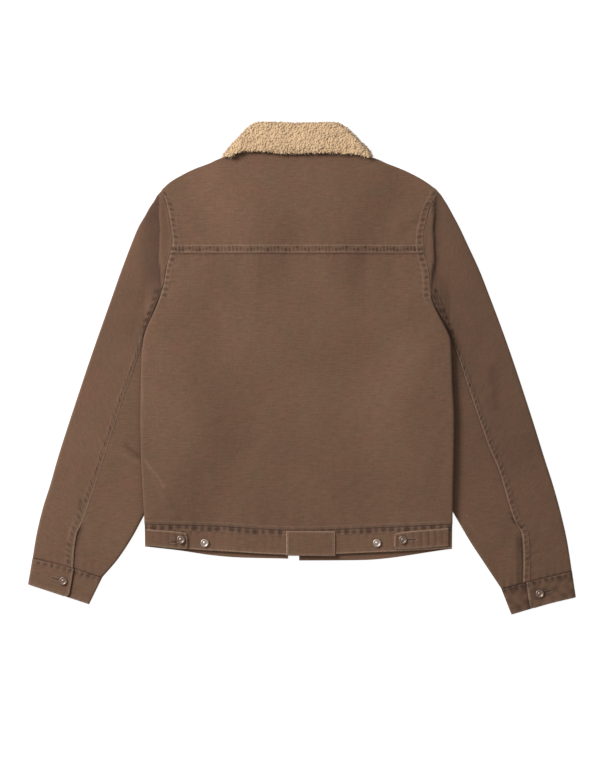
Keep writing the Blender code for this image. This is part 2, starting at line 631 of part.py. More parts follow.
def button(name, x, y, z):
    """A turned shank button: a low post under a dished cap."""
    work = bmesh.new()
    rings = []
    for radius_share, height_share in BUTTON_PROFILE:
        ring = []
        for i in range(BUTTON_SIDES):
            angle = 2.0 * np.pi * i / BUTTON_SIDES
            radius = BUTTON_RADIUS * radius_share
            place = (radius * np.cos(angle), radius * np.sin(angle), BUTTON_HEIGHT * height_share)
            ring.append(work.verts.new([v * MM for v in place]))
        rings.append(ring)
    for low, high in zip(rings, rings[1:]):
        for i in range(BUTTON_SIDES):
            j = (i + 1) % BUTTON_SIDES
            work.faces.new((low[i], low[j], high[j], high[i]))
    work.faces.new(rings[0][::-1])
    work.faces.new(rings[-1])
    bmesh.ops.recalc_face_normals(work, faces=work.faces)
    mesh = bpy.data.meshes.new(name)
    work.to_mesh(mesh)
    work.free()
    mesh.transform(Matrix.Translation(((x - CENTRE[0]) * MM, (y - CENTRE[1]) * MM, z * MM)))
    mesh.materials.append(material("metal"))
    mesh.shade_smooth()
    mesh.set_sharp_from_angle(angle=0.8)
    made = bpy.data.objects.new(name, mesh)
    bpy.context.collection.objects.link(made)
    return made


def make_trims():
    for name, (thick, lower, upper) in PLATES.items():
        plate(name, thick, lower, upper)
    for name, (x, y) in BUTTONS.items():
        if "cuff" in name:
            z = CUFF_TOP + BAND_WALL / 2.0
        else:
            post = BUTTON_RADIUS * BUTTON_PROFILE[0][0]
            places = [(x + post * dx, y + post * dy) for dx in (-1, 1) for dy in (-1, 1)]
            z = max(float(lift(px, py)) for px, py in places) + HEM_STACK
            z += TAB + PLATE_AIR if "tab" in name else 0.0
        button(name, x, y, z + BUTTON_SEAT)


clear_scene()
make_body()
make_hem()
make_sleeves()
for cuff_name, (cuff_laps, cuff_seam, cuff_edge) in CUFFS.items():
    make_cuff(cuff_name, cuff_laps, cuff_seam, cuff_edge)
make_collar()
make_trims()
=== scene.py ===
# %% [markdown]
# # A canvas jacket with a fleece collar, laid flat
# The jacket lies face down, its back towards us. Every piece of cloth is a thin-walled solid whose plan
# comes from short tables of sizes in millimetres, the same ones that shape the rigid model. Here they are
# read with smooth curves and many more steps, so seams, folds and puckers can be worked into the surface.

import bmesh
import bpy
import numpy as np
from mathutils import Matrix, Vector


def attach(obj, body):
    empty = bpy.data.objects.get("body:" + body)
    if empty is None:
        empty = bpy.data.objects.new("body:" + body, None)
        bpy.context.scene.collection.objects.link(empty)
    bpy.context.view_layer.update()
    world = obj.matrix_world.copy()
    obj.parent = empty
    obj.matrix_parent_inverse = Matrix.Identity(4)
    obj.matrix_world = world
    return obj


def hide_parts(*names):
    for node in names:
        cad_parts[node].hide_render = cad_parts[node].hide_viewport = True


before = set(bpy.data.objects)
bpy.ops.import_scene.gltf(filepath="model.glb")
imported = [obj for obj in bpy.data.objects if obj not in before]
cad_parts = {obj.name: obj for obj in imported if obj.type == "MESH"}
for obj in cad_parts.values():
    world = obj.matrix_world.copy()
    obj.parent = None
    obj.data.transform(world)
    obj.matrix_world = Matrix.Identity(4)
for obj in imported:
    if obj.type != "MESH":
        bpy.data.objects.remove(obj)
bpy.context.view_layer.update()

MM = 0.001

# %% [markdown]
# ## Camera, floor and light
# A garment laid flat is photographed from straight above. The camera's height and lens are chosen together
# so that one pixel of a 600 by 765 picture covers 1.7 mm of cloth. The light is one broad lamp at the upper
# left, near enough to fall off across the jacket, and a soft white room. The table glows as a light table
# does, so the ground stays white right up to the cloth.

# %% Camera, floor and light
PIXEL = 1.7
PICTURE = (600, 765)
CENTRE = (7.6, 319.0)  # the rigid model's origin on the cutting plan, millimetres
PICTURE_MIDDLE = (4.3, 295.0)  # middle of the picture on the cutting plan
LENS, SENSOR = 120.0, 36.0
CLOTH_LEVEL = 12.0
FLOOR_SIZE, FLOOR_LEVEL = 12.0, -0.0006  # metres
FLOOR_GREY, FLOOR_GLOW, ROOM_LIGHT = 0.25, 0.9, 0.48
LAMP_PLACE, LAMP_SIZE, LAMP_POWER = (-1.7, 1.1, 1.7), 0.9, 77.0


def add_camera():
    data = bpy.data.cameras.new("camera")
    data.lens = LENS
    data.sensor_width = SENSOR
    camera = bpy.data.objects.new("camera", data)
    reach = PICTURE[1] * PIXEL / SENSOR * LENS + CLOTH_LEVEL
    aside, along = (PICTURE_MIDDLE[c] - CENTRE[c] for c in (0, 1))
    camera.location = (aside * MM, along * MM, reach * MM)
    data.clip_end = 20.0
    bpy.context.collection.objects.link(camera)
    bpy.context.scene.camera = camera
    print("camera height", round(camera.location.z, 3), "m")


def add_floor():
    bpy.ops.mesh.primitive_plane_add(size=FLOOR_SIZE, location=(0, 0, FLOOR_LEVEL))
    floor = bpy.context.object
    floor.name = "floor"
    paint = bpy.data.materials.new("floor_white")
    paint.use_nodes = True
    shader = paint.node_tree.nodes["Principled BSDF"]
    shader.inputs["Base Color"].default_value = (FLOOR_GREY, FLOOR_GREY, FLOOR_GREY, 1.0)
    shader.inputs["Roughness"].default_value = 0.9
    shader.inputs["Emission Color"].default_value = (1.0, 1.0, 1.0, 1.0)
    shader.inputs["Emission Strength"].default_value = FLOOR_GLOW
    floor.data.materials.append(paint)


def add_light():
    world = bpy.data.worlds.new("studio")
    bpy.context.scene.world = world
    world.use_nodes = True
    sky = world.node_tree.nodes["Background"]
    sky.inputs["Color"].default_value = (1.0, 1.0, 1.0, 1.0)
    sky.inputs["Strength"].default_value = ROOM_LIGHT
    data = bpy.data.lights.new("key", "AREA")
    data.shape = "RECTANGLE"
    data.size = data.size_y = LAMP_SIZE
    data.energy = LAMP_POWER
    lamp = bpy.data.objects.new("key", data)
    lamp.location = LAMP_PLACE
    lamp.rotation_euler = (-Vector(LAMP_PLACE)).to_track_quat("-Z", "Y").to_euler()
    bpy.context.collection.objects.link(lamp)
    bpy.context.scene.view_settings.view_transform = "Standard"


add_camera()
add_floor()
add_light()

# %% [markdown]
# ## The jacket's sizes
# These tables are the cutting plan, in millimetres. Each row is one level or one section, so a sleeve is
# eighteen rows and the whole body is thirty-one. Reading them through a smooth curve gives the flowing
# outline of real cloth. Where a table has two sides, -1 is the left one and 1 the right one.

# %% Sizes
BODY_WALL, BODY_STACK, NECK_STACK, HEM_STACK = 4.0, 11.0, 8.8, 9.0  # a stack is two walls and the air between
STACK_ROWS = (
    (0.0, HEM_STACK), (54.0, HEM_STACK), (120.0, BODY_STACK), (640.0, BODY_STACK), (690.0, NECK_STACK),
)
SLEEVE_WALL, SLEEVE_STACK = 4.0, 11.0
BAND_WALL, CUFF_STACK = 3.4, 7.4
FLEECE, UNDER_COLLAR = 7.0, 1.6
TAB, PATCH, SEAM, PLATE_AIR = 2.4, 1.8, 0.4, 0.8
LIFT_SIDE, LIFT_LEAF = 13.2, 10.2  # rise over the sleeves and over the collar's leaves
SIDE_SLOPE, LEAF_SLOPE = 120.0, 80.0
SHOULDER_Y, UNDERARM_Y, YOKE_Y = 620.5, 442.0, 515.0

EDGE_ROWS = (
    # y, left, right
    (700.0, -88.0, 90.0), (690.0, -101.0, 102.8), (682.0, -111.0, 113.0), (678.4, -115.5, 116.5),
    (677.0, -127.5, 128.0), (667.2, -150.4, 152.2), (657.9, -176.6, 177.6), (648.5, -196.0, 198.0),
    (637.8, -214.6, 216.8), (628.4, -225.6, 229.8), (620.5, -232.2, 238.8), (605.2, -225.2, 231.9),
    (588.0, -220.6, 224.2), (567.8, -216.8, 219.0), (552.5, -214.5, 215.4), (535.5, -212.8, 214.4),
    (514.5, -216.6, 216.0), (496.4, -221.8, 221.2), (477.7, -225.2, 224.4), (460.0, -228.6, 225.6),
    (442.0, -232.9, 226.4), (417.0, -242.8, 236.4), (384.0, -257.0, 253.4), (367.0, -261.8, 259.8),
    (343.0, -264.3, 261.4), (300.0, -265.8, 262.8), (231.0, -266.6, 266.1), (163.0, -265.2, 265.2),
    (112.0, -262.6, 264.0), (54.4, -259.9, 263.3), (14.0, -259.2, 262.6),
)
HEM_SEAM = (
    (-260.0, 54.4), (-197.0, 52.4), (-132.0, 50.0), (-21.0, 43.4), (5.0, 43.2), (135.0, 47.5), (263.0, 54.0),
)
BACK_HEM = ((-260.0, 17.0), (-130.0, 8.0), (0.0, 1.7), (130.0, 6.0), (263.0, 13.0))
FRONT_HEM = (
    (-260.0, 16.0), (-200.0, 9.0), (-144.0, 0.6), (-96.0, -3.2), (-16.0, -5.2), (3.0, -8.2), (106.0, -7.6),
    (263.0, 12.0),
)
FRONT_EDGE = (-15.8, 2.8)
NECK_LINE = ((625.0, 0.0), (640.0, 16.0), (660.0, 44.0), (680.0, 76.0), (692.0, 94.0))
PLACKET, NECK_BOW = 44.0, 5.0
SIDE_ROWS = (
    # y, share of the lift, left x, right x
    (0.0, 0.15, -250.0, 252.0), (54.0, 0.92, -250.0, 252.0), (66.0, 1.0, -249.0, 253.0),
    (78.0, 1.0, -246.0, 252.0), (144.0, 1.0, -211.0, 216.0), (204.0, 1.0, -178.0, 187.0),
    (240.0, 1.0, -178.0, 187.0),
    (282.0, 1.0, -195.0, 201.0), (325.0, 1.0, -219.0, 223.0), (359.0, 1.0, -242.0, 243.0),
    (386.0, 1.0, -250.0, 250.0), (442.0, 0.72, -233.0, 227.0), (480.0, 0.35, -225.0, 226.0),
    (520.0, 0.08, -216.0, 216.0), (545.0, 0.0, -213.0, 215.0),
)
LEAF_OUTLINE = ((-132.0, 682.0), (-62.0, 540.0), (0.0, 618.0), (0.0, 706.0), (-84.0, 738.0))
SLEEVE_ROWS = {
    # outer x, y, seam x, y, inner x, y
    -1: (
        (-230.3, 619.6, -231.6, 451.5, -233.7, 441.2), (-236.6, 611.5, -241.0, 438.5, -237.6, 431.5),
        (-241.0, 604.0, -246.8, 425.3, -241.4, 420.6), (-249.6, 592.5, -252.2, 412.8, -245.8, 408.0),
        (-257.4, 579.5, -257.0, 398.3, -250.4, 394.0), (-270.0, 559.0, -261.0, 382.0, -254.6, 378.0),
        (-283.5, 527.5, -264.8, 360.0, -252.0, 359.0), (-299.0, 488.0, -271.5, 338.3, -229.0, 325.0),
        (-316.0, 440.0, -283.6, 304.0, -205.0, 283.0), (-335.8, 384.2, -297.0, 266.0, -189.0, 243.0),
        (-354.0, 332.0, -311.5, 222.0, -187.0, 206.0), (-371.0, 281.0, -328.0, 171.0, -203.0, 169.0),
        (-389.5, 225.0, -341.2, 129.2, -222.0, 136.0), (-407.0, 170.0, -352.0, 97.0, -242.0, 102.0),
        (-421.0, 121.0, -365.0, 60.0, -262.0, 67.0), (-434.2, 79.0, -376.5, 35.0, -281.0, 32.0),
        (-444.8, 34.0, -380.5, 7.0, -306.0, -6.0), (-451.0, -3.4, -382.3, -20.4, -332.3, -36.7),
    ),
    1: (
        (239.0, 619.6, 226.7, 452.0, 227.2, 441.2), (244.0, 612.5, 236.0, 441.0, 231.8, 431.5),
        (249.0, 605.0, 242.2, 428.0, 235.6, 420.0), (255.5, 595.0, 248.0, 414.6, 240.6, 407.5),
        (264.0, 580.0, 253.0, 399.4, 246.4, 392.5), (275.5, 559.0, 259.4, 380.0, 252.8, 375.0),
        (290.5, 527.5, 268.0, 356.0, 252.0, 353.0), (309.0, 488.0, 277.5, 328.4, 233.0, 320.0),
        (328.2, 439.0, 287.8, 296.0, 211.0, 278.0), (348.8, 384.2, 298.8, 263.0, 197.5, 237.0),
        (367.2, 332.0, 311.4, 226.0, 196.5, 198.0), (385.8, 276.0, 326.4, 184.0, 212.0, 164.0),
        (403.2, 222.0, 345.0, 139.0, 230.5, 132.0), (421.2, 164.0, 356.0, 100.0, 252.0, 95.0),
        (435.0, 121.0, 369.2, 60.0, 273.0, 60.0), (448.6, 72.0, 382.5, 33.0, 294.0, 24.0),
        (459.8, 22.0, 384.5, -5.0, 319.0, -14.0), (467.2, -25.5, 384.0, -45.9, 346.8, -55.8),
    ),
}
SLEEVE_TOP = (
    # bow along the armhole, and share of the rise onto the shoulder, of the first rows; the others have none
    (1.0, 1.0), (0.92, 0.86), (0.8, 0.66), (0.64, 0.42), (0.46, 0.2), (0.28, 0.0), (0.14, 0.0),
)
COLLAR_ROWS = (
    # roll x, y, fall x, y, under x, y
    (-127.8, 678.4, -113.0, 677.2, -113.0, 668.0), (-117.4, 693.0, -104.0, 685.0, -87.0, 604.0),
    (-105.2, 706.4, -91.0, 687.3, -60.4, 545.7), (-92.0, 721.0, -78.0, 687.6, -40.0, 572.0),
    (-78.0, 733.8, -64.0, 687.4, -22.0, 598.0), (-62.0, 738.2, -50.0, 687.2, -3.6, 623.5),
    (-32.0, 738.0, -27.0, 684.0, -18.0, 672.0), (0.5, 736.8, 0.5, 684.2, 0.5, 697.0),
    (32.0, 737.4, 28.0, 684.8, 14.0, 672.0), (62.0, 737.6, 52.0, 685.3, 4.6, 623.5),
    (80.0, 731.4, 66.0, 684.8, 24.0, 598.0), (94.0, 718.6, 80.0, 683.6, 42.0, 572.0),
    (107.4, 704.2, 92.0, 683.0, 61.4, 545.7), (120.0, 691.6, 105.2, 682.0, 88.0, 604.0),
    (128.3, 678.4, 113.5, 677.2, 114.0, 668.0),
)
ROLL_HEIGHT, NECK_HEIGHT, ROLL_DEPTH, FOLD_REACH = 19.6, 32.4, 44.0, 11.0
CUFFS = {
    # seam, lower edge
    "cuff_left": (((-451.0, -3.4), (-382.3, -20.4), (-332.3, -36.7)),
                  ((-458.8, -48.4), (-400.0, -67.6), (-354.8, -82.6))),
    "cuff_right": (((467.2, -25.5), (384.0, -45.9), (346.8, -55.8)),
                   ((474.0, -70.4), (430.3, -80.9), (364.3, -100.2))),
}
CUFF_LAPS = {"cuff_left": (0.59, 0.67), "cuff_right": (0.65, 0.71)}  # where the free end lies, at seam and edge
CUFF_UNDER = 0.36  # where its hidden end lies
BUTTONHOLES = {
    # the two ends of the slit beside each button
    "tab_left": ((-214.0, 23.6), (-206.5, 24.2)), "tab_right": ((187.0, 27.6), (201.0, 28.0)),
    "cuff_left": ((-417.0, -37.6), (-405.0, -40.8)), "cuff_right": ((418.6, -62.2), (431.0, -58.6)),
}
PLATES = {
    # name: thickness, cut in metres, how far the edge runs on past the left and right ends, lower and upper edge
    "tab_left": (TAB, (0.072, 0.030), (60.0, 0.0), ((-256.0, 17.8), (-190.0, 11.8), (-186.4, 19.0)),
                 ((-256.0, 46.4), (-190.0, 39.6), (-186.4, 32.0))),
    "tab_right": (TAB, (0.094, 0.032), (0.0, 60.0), ((163.8, 18.0), (167.0, 11.2), (256.0, 17.0)),
                  ((163.8, 32.0), (167.0, 39.0), (256.0, 48.4))),
    "hem_patch": (PATCH, (0.086, 0.044), (0.0, 0.0), ((-19.6, 0.4), (64.6, -0.4)), ((-19.6, 43.0), (64.6, 42.4))),
}

# %% [markdown]
# ## Reading the tables smoothly
# A polyline through the rows would show as facets. A cubic curve through the same rows does not, and where
# two rows sit close together it still turns the corner that a seam makes.

# %% Curves and steps
def smooth(t):
    t = np.clip(t, 0.0, 1.0)
    return t * t * (3.0 - 2.0 * t)


def curve(knots, values, at):
    """A cubic through (knots, values) that never swings past its neighbours."""
    knots, values = np.asarray(knots, float), np.asarray(values, float)
    order = np.argsort(knots)
    knots, values = knots[order], values[order]
    step = np.diff(knots)
    slope = np.diff(values) / step
    tangent = np.zeros_like(values)
    same = slope[:-1] * slope[1:] > 0
    harmonic = 2.0 * slope[:-1] * slope[1:] / np.where(same, slope[:-1] + slope[1:], 1.0)
    tangent[1:-1] = np.where(same, harmonic, 0.0)
    tangent[0], tangent[-1] = slope[0], slope[-1]
    at = np.asarray(at, float)
    i = np.clip(np.searchsorted(knots, at, side="right") - 1, 0, len(step) - 1)
    t = np.clip((at - knots[i]) / step[i], 0.0, 1.0)
    h = step[i]
    return ((2 * t**3 - 3 * t**2 + 1) * values[i] + (t**3 - 2 * t**2 + t) * h * tangent[i]
            + (3 * t**2 - 2 * t**3) * values[i + 1] + (t**3 - t**2) * h * tangent[i + 1])


def column(rows, index, at):
    table = np.array(rows)
    return curve(table[:, 0], table[:, index], at)


def line(points, x):
    return column(points, 1, x)


def travelled_along(points):
    """How far along a broken line in plan each of its points lies."""
    return np.concatenate([[0.0], np.cumsum(np.hypot(*np.diff(points, axis=0).T))])


def bell(d, centre, width):
    return np.exp(-((d - centre) / width) ** 2)


def dying(d, reach):
    """1 up to d = 0, then fading away over about this reach."""
    return np.exp(-np.maximum(d, 0.0) / reach)


ROUNDED = 14.0  # cloth passes over the collar's corners in curves of about this radius


def outside(x, y, outline):
    """About how far a place lies outside a convex outline, with rounded corners."""
    total = np.zeros(np.broadcast(x, y).shape)
    for (ax, ay), (bx, by) in zip(outline, outline[1:] + outline[:1]):
        beyond = ((by - ay) * (x - ax) - (bx - ax) * (y - ay)) / np.hypot(bx - ax, by - ay)
        total += np.exp(np.minimum(beyond, 400.0) / ROUNDED)
    return np.maximum(ROUNDED * np.log(total), 0.0)


def lift(x, y):
    """Height of the body's underside: its sides lie on the sleeves and its neck on the collar's leaves."""
    table = np.array(SIDE_ROWS)
    share, left, right = (np.interp(y, table[:, 0], table[:, c]) for c in (1, 2, 3))
    near = np.maximum(smooth((left + SIDE_SLOPE - x) / SIDE_SLOPE),
                      smooth((x - right + SIDE_SLOPE) / SIDE_SLOPE))
    left_leaf, right_leaf = outside(x, y, LEAF_OUTLINE), outside(-x, y, LEAF_OUTLINE)
    leaf = -ROUNDED * np.log(np.exp(-left_leaf / ROUNDED) + np.exp(-right_leaf / ROUNDED))
    over_sleeves, over_leaves = LIFT_SIDE * share * near, LIFT_LEAF * smooth(1.0 - leaf / LEAF_SLOPE)
    return (over_sleeves**4 + over_leaves**4) ** 0.25


def stack(y):
    """Thickness of the body, both walls and the air between them."""
    return np.interp(y, *zip(*STACK_ROWS))


def levels(*stops):
    """Levels from stop to stop: pairs of a y and the step to use on the way to the next one."""
    found = []
    for (start, step), (end, _) in zip(stops, stops[1:]):
        count = max(1, int(round(abs(end - start) / step)))
        found += list(np.linspace(start, end, count + 1)[:-1])
    return np.array(found + [stops[-1][0]])


def body_edges(y):
    return column(EDGE_ROWS, 1, y), column(EDGE_ROWS, 2, y)


shoulder_left, shoulder_right = body_edges(SHOULDER_Y)
print("shoulder to shoulder", shoulder_right - shoulder_left, "mm")

# %% [markdown]
# ## Puckers and felled seams
# Washed canvas shrinks between the stitches of a felled seam, so the band beside each seam draws into round
# pinches, six to fourteen millimetres apart, and shallow ripples run out of it. A pattern that repeats
# exactly looks printed, so sine waves of unrelated length shift, stretch and fade each pinch and ripple.
# That stays the same on every run without any random numbers.

# %% Ripples
def ripple(t, pitch, phase):
    """Uneven ripples along t, from -1 in a pinched groove to 1 on a rounded crest."""
    drift = 0.9 * np.sin(t / (pitch * 3.7) + phase) + 0.7 * np.sin(t / (pitch * 1.9) + 2.0 * phase)
    wave = np.sin(2.0 * np.pi * t / pitch + 1.5 * drift + phase)
    sharp = 1.0 - 2.0 * np.abs(0.5 * (1.0 - wave)) ** 1.3
    strength = 0.62 + 0.38 * np.sin(t / (pitch * 2.9) + 1.7 * phase) * np.sin(t / (pitch * 1.3) + phase)
    return sharp * strength


def pinches(d, t, width, pitch, phase):
    """Uneven round pinches along a band: 1 in the heart of a pinch, 0 on the cloth between two."""
    field = np.zeros(np.broadcast(d, t).shape)
    nearest = np.round(t / pitch)
    for beside in (-1.0, 0.0, 1.0):
        i = nearest + beside
        at = (i + 0.24 * np.sin(12.9 * i + phase)) * pitch
        centre = width * (0.44 + 0.12 * np.sin(7.3 * i + 2.0 * phase))
        half_long = pitch * (0.35 + 0.08 * np.sin(3.7 * i + phase))
        half_wide = width * (0.44 + 0.12 * np.sin(5.1 * i + phase))
        strength = 0.78 + 0.22 * np.sin(2.3 * i + 3.0 * phase)
        far = ((t - at) / half_long) ** 2 + ((d - centre) / half_wide) ** 2
        field = np.maximum(field, strength * np.exp(-far ** 1.25))
    streaks = np.sin(2.0 * np.pi * t / (0.29 * pitch) + phase + 1.3 * np.sin(0.8 * d))
    return field * (0.74 + 0.26 * streaks)


SOFT_EDGE = 1.6


def bump_band(d, width):
    """1 inside a band of this width that starts at d = 0, with soft edges inwards."""
    return smooth(d / SOFT_EDGE) * smooth((width - d) / SOFT_EDGE)


def beside_line(x, y, x0, y0, x1, y1):
    """How far along a straight line each place lies, how far beside it, and the line's length."""
    dx, dy = x1 - x0, y1 - y0
    length = np.hypot(dx, dy)
    return ((x - x0) * dx + (y - y0) * dy) / length, ((x - x0) * dy - (y - y0) * dx) / length, length


class Relief:
    """Adds up the height, the wear and the painted shade of a piece's outer face."""

    def __init__(self, shape):
        self.height = np.zeros(shape)
        self.pale = np.zeros(shape)
        self.dark = np.zeros(shape)

    def seam(self, d, t, width, raised, pitch, depth, phase, painted_shade, rims, slant=0.0):
        """A felled seam's band: d is the distance from the seam's edge, t the distance along it. Each pinch gets
        painted shade, and the cloth between the pinches a faint painted highlight.
        """
        pinch = pinches(d, t + slant * d, width, pitch, phase)
        heart = smooth((d - 0.02 * width) / (0.12 * width)) * smooth((width - d) / (0.2 * width))
        self.height += bump_band(d, width) * raised + heart * depth * (0.4 - 1.4 * pinch)
        self.dark += painted_shade * pinch * heart
        self.pale += 0.12 * (1.0 - pinch) * heart
        self.pale += rims[0] * bell(d, 1.5, 0.9) + rims[1] * np.exp(-((d - width + 1.0) / 0.8) ** 2)

    def buttonhole(self, x, y, start, end):
        """A slit with a ring of close stitches round it, from one place to another. The slit and a ring just
        outside the stitches are darkened with painted shade.
        """
        (x0, y0), (x1, y1) = start, end
        dx, dy = x1 - x0, y1 - y0
        share = np.clip(((x - x0) * dx + (y - y0) * dy) / (dx ** 2 + dy ** 2), 0.0, 1.0)
        far = np.hypot(x - x0 - share * dx, y - y0 - share * dy)
        ring = bell(far, 2.6, 1.0)
        self.height += 0.5 * ring - 0.5 * bell(far, 0.0, 1.2)
        self.dark += 0.75 * bell(far, 0.0, 1.3) + 0.3 * bell(far, 4.4, 1.0)
        self.pale += 0.35 * ring

    def fade(self, d, t, reach, pitch, depth, phase, painted_shade=0.35):
        """Puckers that run out of a seam into the plain cloth beside it, with painted shade in their troughs."""
        gone = dying(d, reach) * (d > -0.01)
        wave = ripple(t, pitch, phase)
        self.height += gone * depth * wave
        self.dark += painted_shade * gone * smooth((-wave - 0.1) / 0.8)

    def ditch(self, d, depth, reach, painted_shade):
        """The cut or folded edge beside a seam turns down, and its groove gets painted shade."""
        self.height -= depth * dying(d, reach)
        self.dark += painted_shade * dying(d, 0.6 * reach)

    def crease(self, x, y, rows):
        """Soft ridges and troughs, given one by one: start x, y, end x, y, half width, height."""
        for *ends, half, high in rows:
            run, side, length = beside_line(x, y, *ends)
            wander = 0.35 * half * np.sin(run / length * 5.0 + ends[0])
            body = bell(side + wander, 0.0, half)
            self.height += high * body * smooth(run / (0.3 * length)) * smooth((length - run) / (0.3 * length))

    def paint_highlights_and_shade(self, x, y, rows):
        """Lines given one by one: start x, y, end x, y, half width, strength; a dark line's is negative. A pale
        line is a painted highlight, a dark line painted shade.
        """
        for *ends, half, strength in rows:
            run, side, length = beside_line(x, y, *ends)
            side = side + 0.9 * np.sin(run / 9.0 + ends[0])
            worn = strength * bell(side, 0.0, half) * smooth(run / 6.0) * smooth((length - run) / 6.0)
            self.pale += np.maximum(worn, 0.0)
            self.dark += np.maximum(-worn, 0.0)

    def lay(self, part, share, pale_share):
        """Adds another relief, more or less strongly from place to place."""
        self.height += share * part.height
        self.dark += share * part.dark
        self.pale += pale_share * part.pale

    def keep_wear_and_shade(self, share):
        """Keeps the wear and the painted shade to where the share is 1."""
        self.pale *= share
        self.dark *= share


# %% [markdown]
# ## Lines of stitches
# A row of topstitching runs at a fixed distance from a seam. Each piece measures that distance for its own
# grid, so the row is traced by asking where the measure takes a value. All rows are kept in one list and
# sewn near the end.

# %% Trace a row of stitches
stitch_rows = {"top": [], "tack": []}


def trace(points, measure, value, along_rows=False):
    """The line across a grid of points on which a measure has this value."""
    if along_rows:
        points, measure = points.swapaxes(0, 1), measure.T
    found = []
    for column_points, column_measure in zip(points.swapaxes(0, 1), measure.T):
        order = np.argsort(column_measure)
        if column_measure.min() <= value <= column_measure.max():
            found.append([np.interp(value, column_measure[order], column_points[order, c]) for c in range(3)])
    return np.array(found)


def sew(line_points, kind="top"):
    if len(line_points) > 1:
        stitch_rows[kind].append(np.array(line_points))


def sew_at(points, measure, values, along_rows=False):
    """Rows of stitches where a measure takes these values."""
    for value in values:
        sew(trace(points, measure, value, along_rows))


# %% [markdown]
# ## Skins
# A piece of cloth is a grid of outer points and a grid of inner points, closed round its rim. The UV map is
# laid out in metres along the cloth, so that one weave fits every piece, and two attributes carry where the
# cloth is paler, from worn dye and painted highlights, and where shade is painted into puckers, grooves and
# folds.

# %% Build one piece of cloth
faces_of = {}  # the displaced outer grid of each piece, for the seams and stitches laid on it


def every(count, step):
    """Every step-th place of a row of points, its last one too."""
    kept = list(range(0, count, step))
    return kept if kept[-1] == count - 1 else kept + [count - 1]


def place(points):
    return (points - np.array((*CENTRE, 0.0))) * MM


def rim_faces(rows, columns, kept_rows, kept_columns):
    """The strip between the fine outer edge and the coarse inner one, once round."""
    far, wide = rows * columns, len(kept_columns)
    top = lambda i, j: i * columns + j
    under = lambda a, b: far + a * wide + b
    last_row, last_column = len(kept_rows) - 1, wide - 1
    strips = []
    for b, (p, q) in enumerate(zip(kept_columns, kept_columns[1:])):
        strips.append([top(0, j) for j in range(q, p - 1, -1)] + [under(0, b), under(0, b + 1)])
        edge = [top(rows - 1, j) for j in range(p, q + 1)]
        strips.append(edge + [under(last_row, b + 1), under(last_row, b)])
    for a, (p, q) in enumerate(zip(kept_rows, kept_rows[1:])):
        edge = [top(i, columns - 1) for i in range(q, p - 1, -1)]
        strips.append(edge + [under(a, last_column), under(a + 1, last_column)])
        strips.append([top(i, 0) for i in range(p, q + 1)] + [under(a + 1, 0), under(a, 0)])
    return strips


def skin(name, outer, inner, relief=None, coarse=4):
    rows, columns = outer.shape[:2]
    kept_rows, kept_columns = every(rows, coarse), every(columns, coarse)
    lining = inner[np.ix_(kept_rows, kept_columns)]
    faces_of[name] = outer
    points = np.concatenate([place(outer).reshape(-1, 3), place(lining).reshape(-1, 3)])
    far, wide = rows * columns, len(kept_columns)

    def quads(tall, across, first, turn):
        i, j = np.meshgrid(np.arange(tall - 1), np.arange(across - 1), indexing="ij")
        a = (i * across + j).ravel() + first
        found = np.stack([a, a + 1, a + 1 + across, a + across], axis=1)
        return (found[:, ::-1] if turn else found).tolist()

    faces = quads(rows, columns, 0, False) + quads(len(kept_rows), wide, far, True)
    faces += rim_faces(rows, columns, kept_rows, kept_columns)
    mesh = bpy.data.meshes.new(f"{name}_cloth")
    mesh.from_pydata(points.tolist(), [], faces)
    steps = np.linalg.norm(np.diff(outer, axis=1), axis=2)
    u = np.concatenate([np.zeros((rows, 1)), np.cumsum(steps, axis=1)], axis=1)
    u -= u[:, columns // 2][:, None]
    v = np.linalg.norm(np.diff(outer[:, columns // 2], axis=0), axis=1)
    v = np.concatenate([[0.0], np.cumsum(v)])[:, None] + np.zeros_like(u)
    uv = np.stack([u, v], axis=2) * MM
    uv = np.concatenate([uv.reshape(-1, 2), uv[np.ix_(kept_rows, kept_columns)].reshape(-1, 2)])
    loops = np.zeros(len(mesh.loops), dtype=np.int32)
    mesh.loops.foreach_get("vertex_index", loops)
    layer = mesh.uv_layers.new(name="cloth")
    layer.data.foreach_set("uv", uv[loops].ravel())
    for word in ("pale", "dark"):
        store = mesh.attributes.new(word, "FLOAT", "POINT")
        if relief is not None:
            values = np.clip(getattr(relief, word), 0.0, 1.0).ravel()
            store.data.foreach_set("value", np.concatenate([values, np.zeros(len(lining) * wide)]))
    turn_outwards(mesh)
    mesh.shade_smooth()
    mesh.set_sharp_from_angle(angle=1.0)
    piece = bpy.data.objects.new(f"{name}_cloth", mesh)
    bpy.context.collection.objects.link(piece)
    return piece


def turn_outwards(mesh):
    work = bmesh.new()
    work.from_mesh(mesh)
    if work.calc_volume(signed=True) < 0.0:
        bmesh.ops.reverse_faces(work, faces=work.faces)
        work.to_mesh(mesh)
    work.free()


def finish_cloth(piece, node, material):
    """Gives a piece of cloth its finish and its body, and hides the solid it stands for."""
    piece.data.materials.append(material)
    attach(piece, "root")
    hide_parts(node)


# %% [markdown]
# ## Canvas, fleece, thread and metal
# The canvas is a washed cotton duck: a plain weave, matt, with the dye worn pale on every raised edge and
# shade painted into every groove. The weave follows the UV map, the cloudiness of the dye follows the object, and
# the two attributes from the relief drive the wear, the painted highlights and the painted shade. Constant values
# sit on the shader's own sockets so that they survive an export.

# %% Shader helpers
def new_material(name, roughness, **constants):
    made = bpy.data.materials.new(name)
    made.use_nodes = True
    shader = made.node_tree.nodes["Principled BSDF"]
    shader.inputs["Roughness"].default_value = roughness
    for word, value in constants.items():
        shader.inputs[word.replace("_", " ")].default_value = value
    return made, made.node_tree, shader


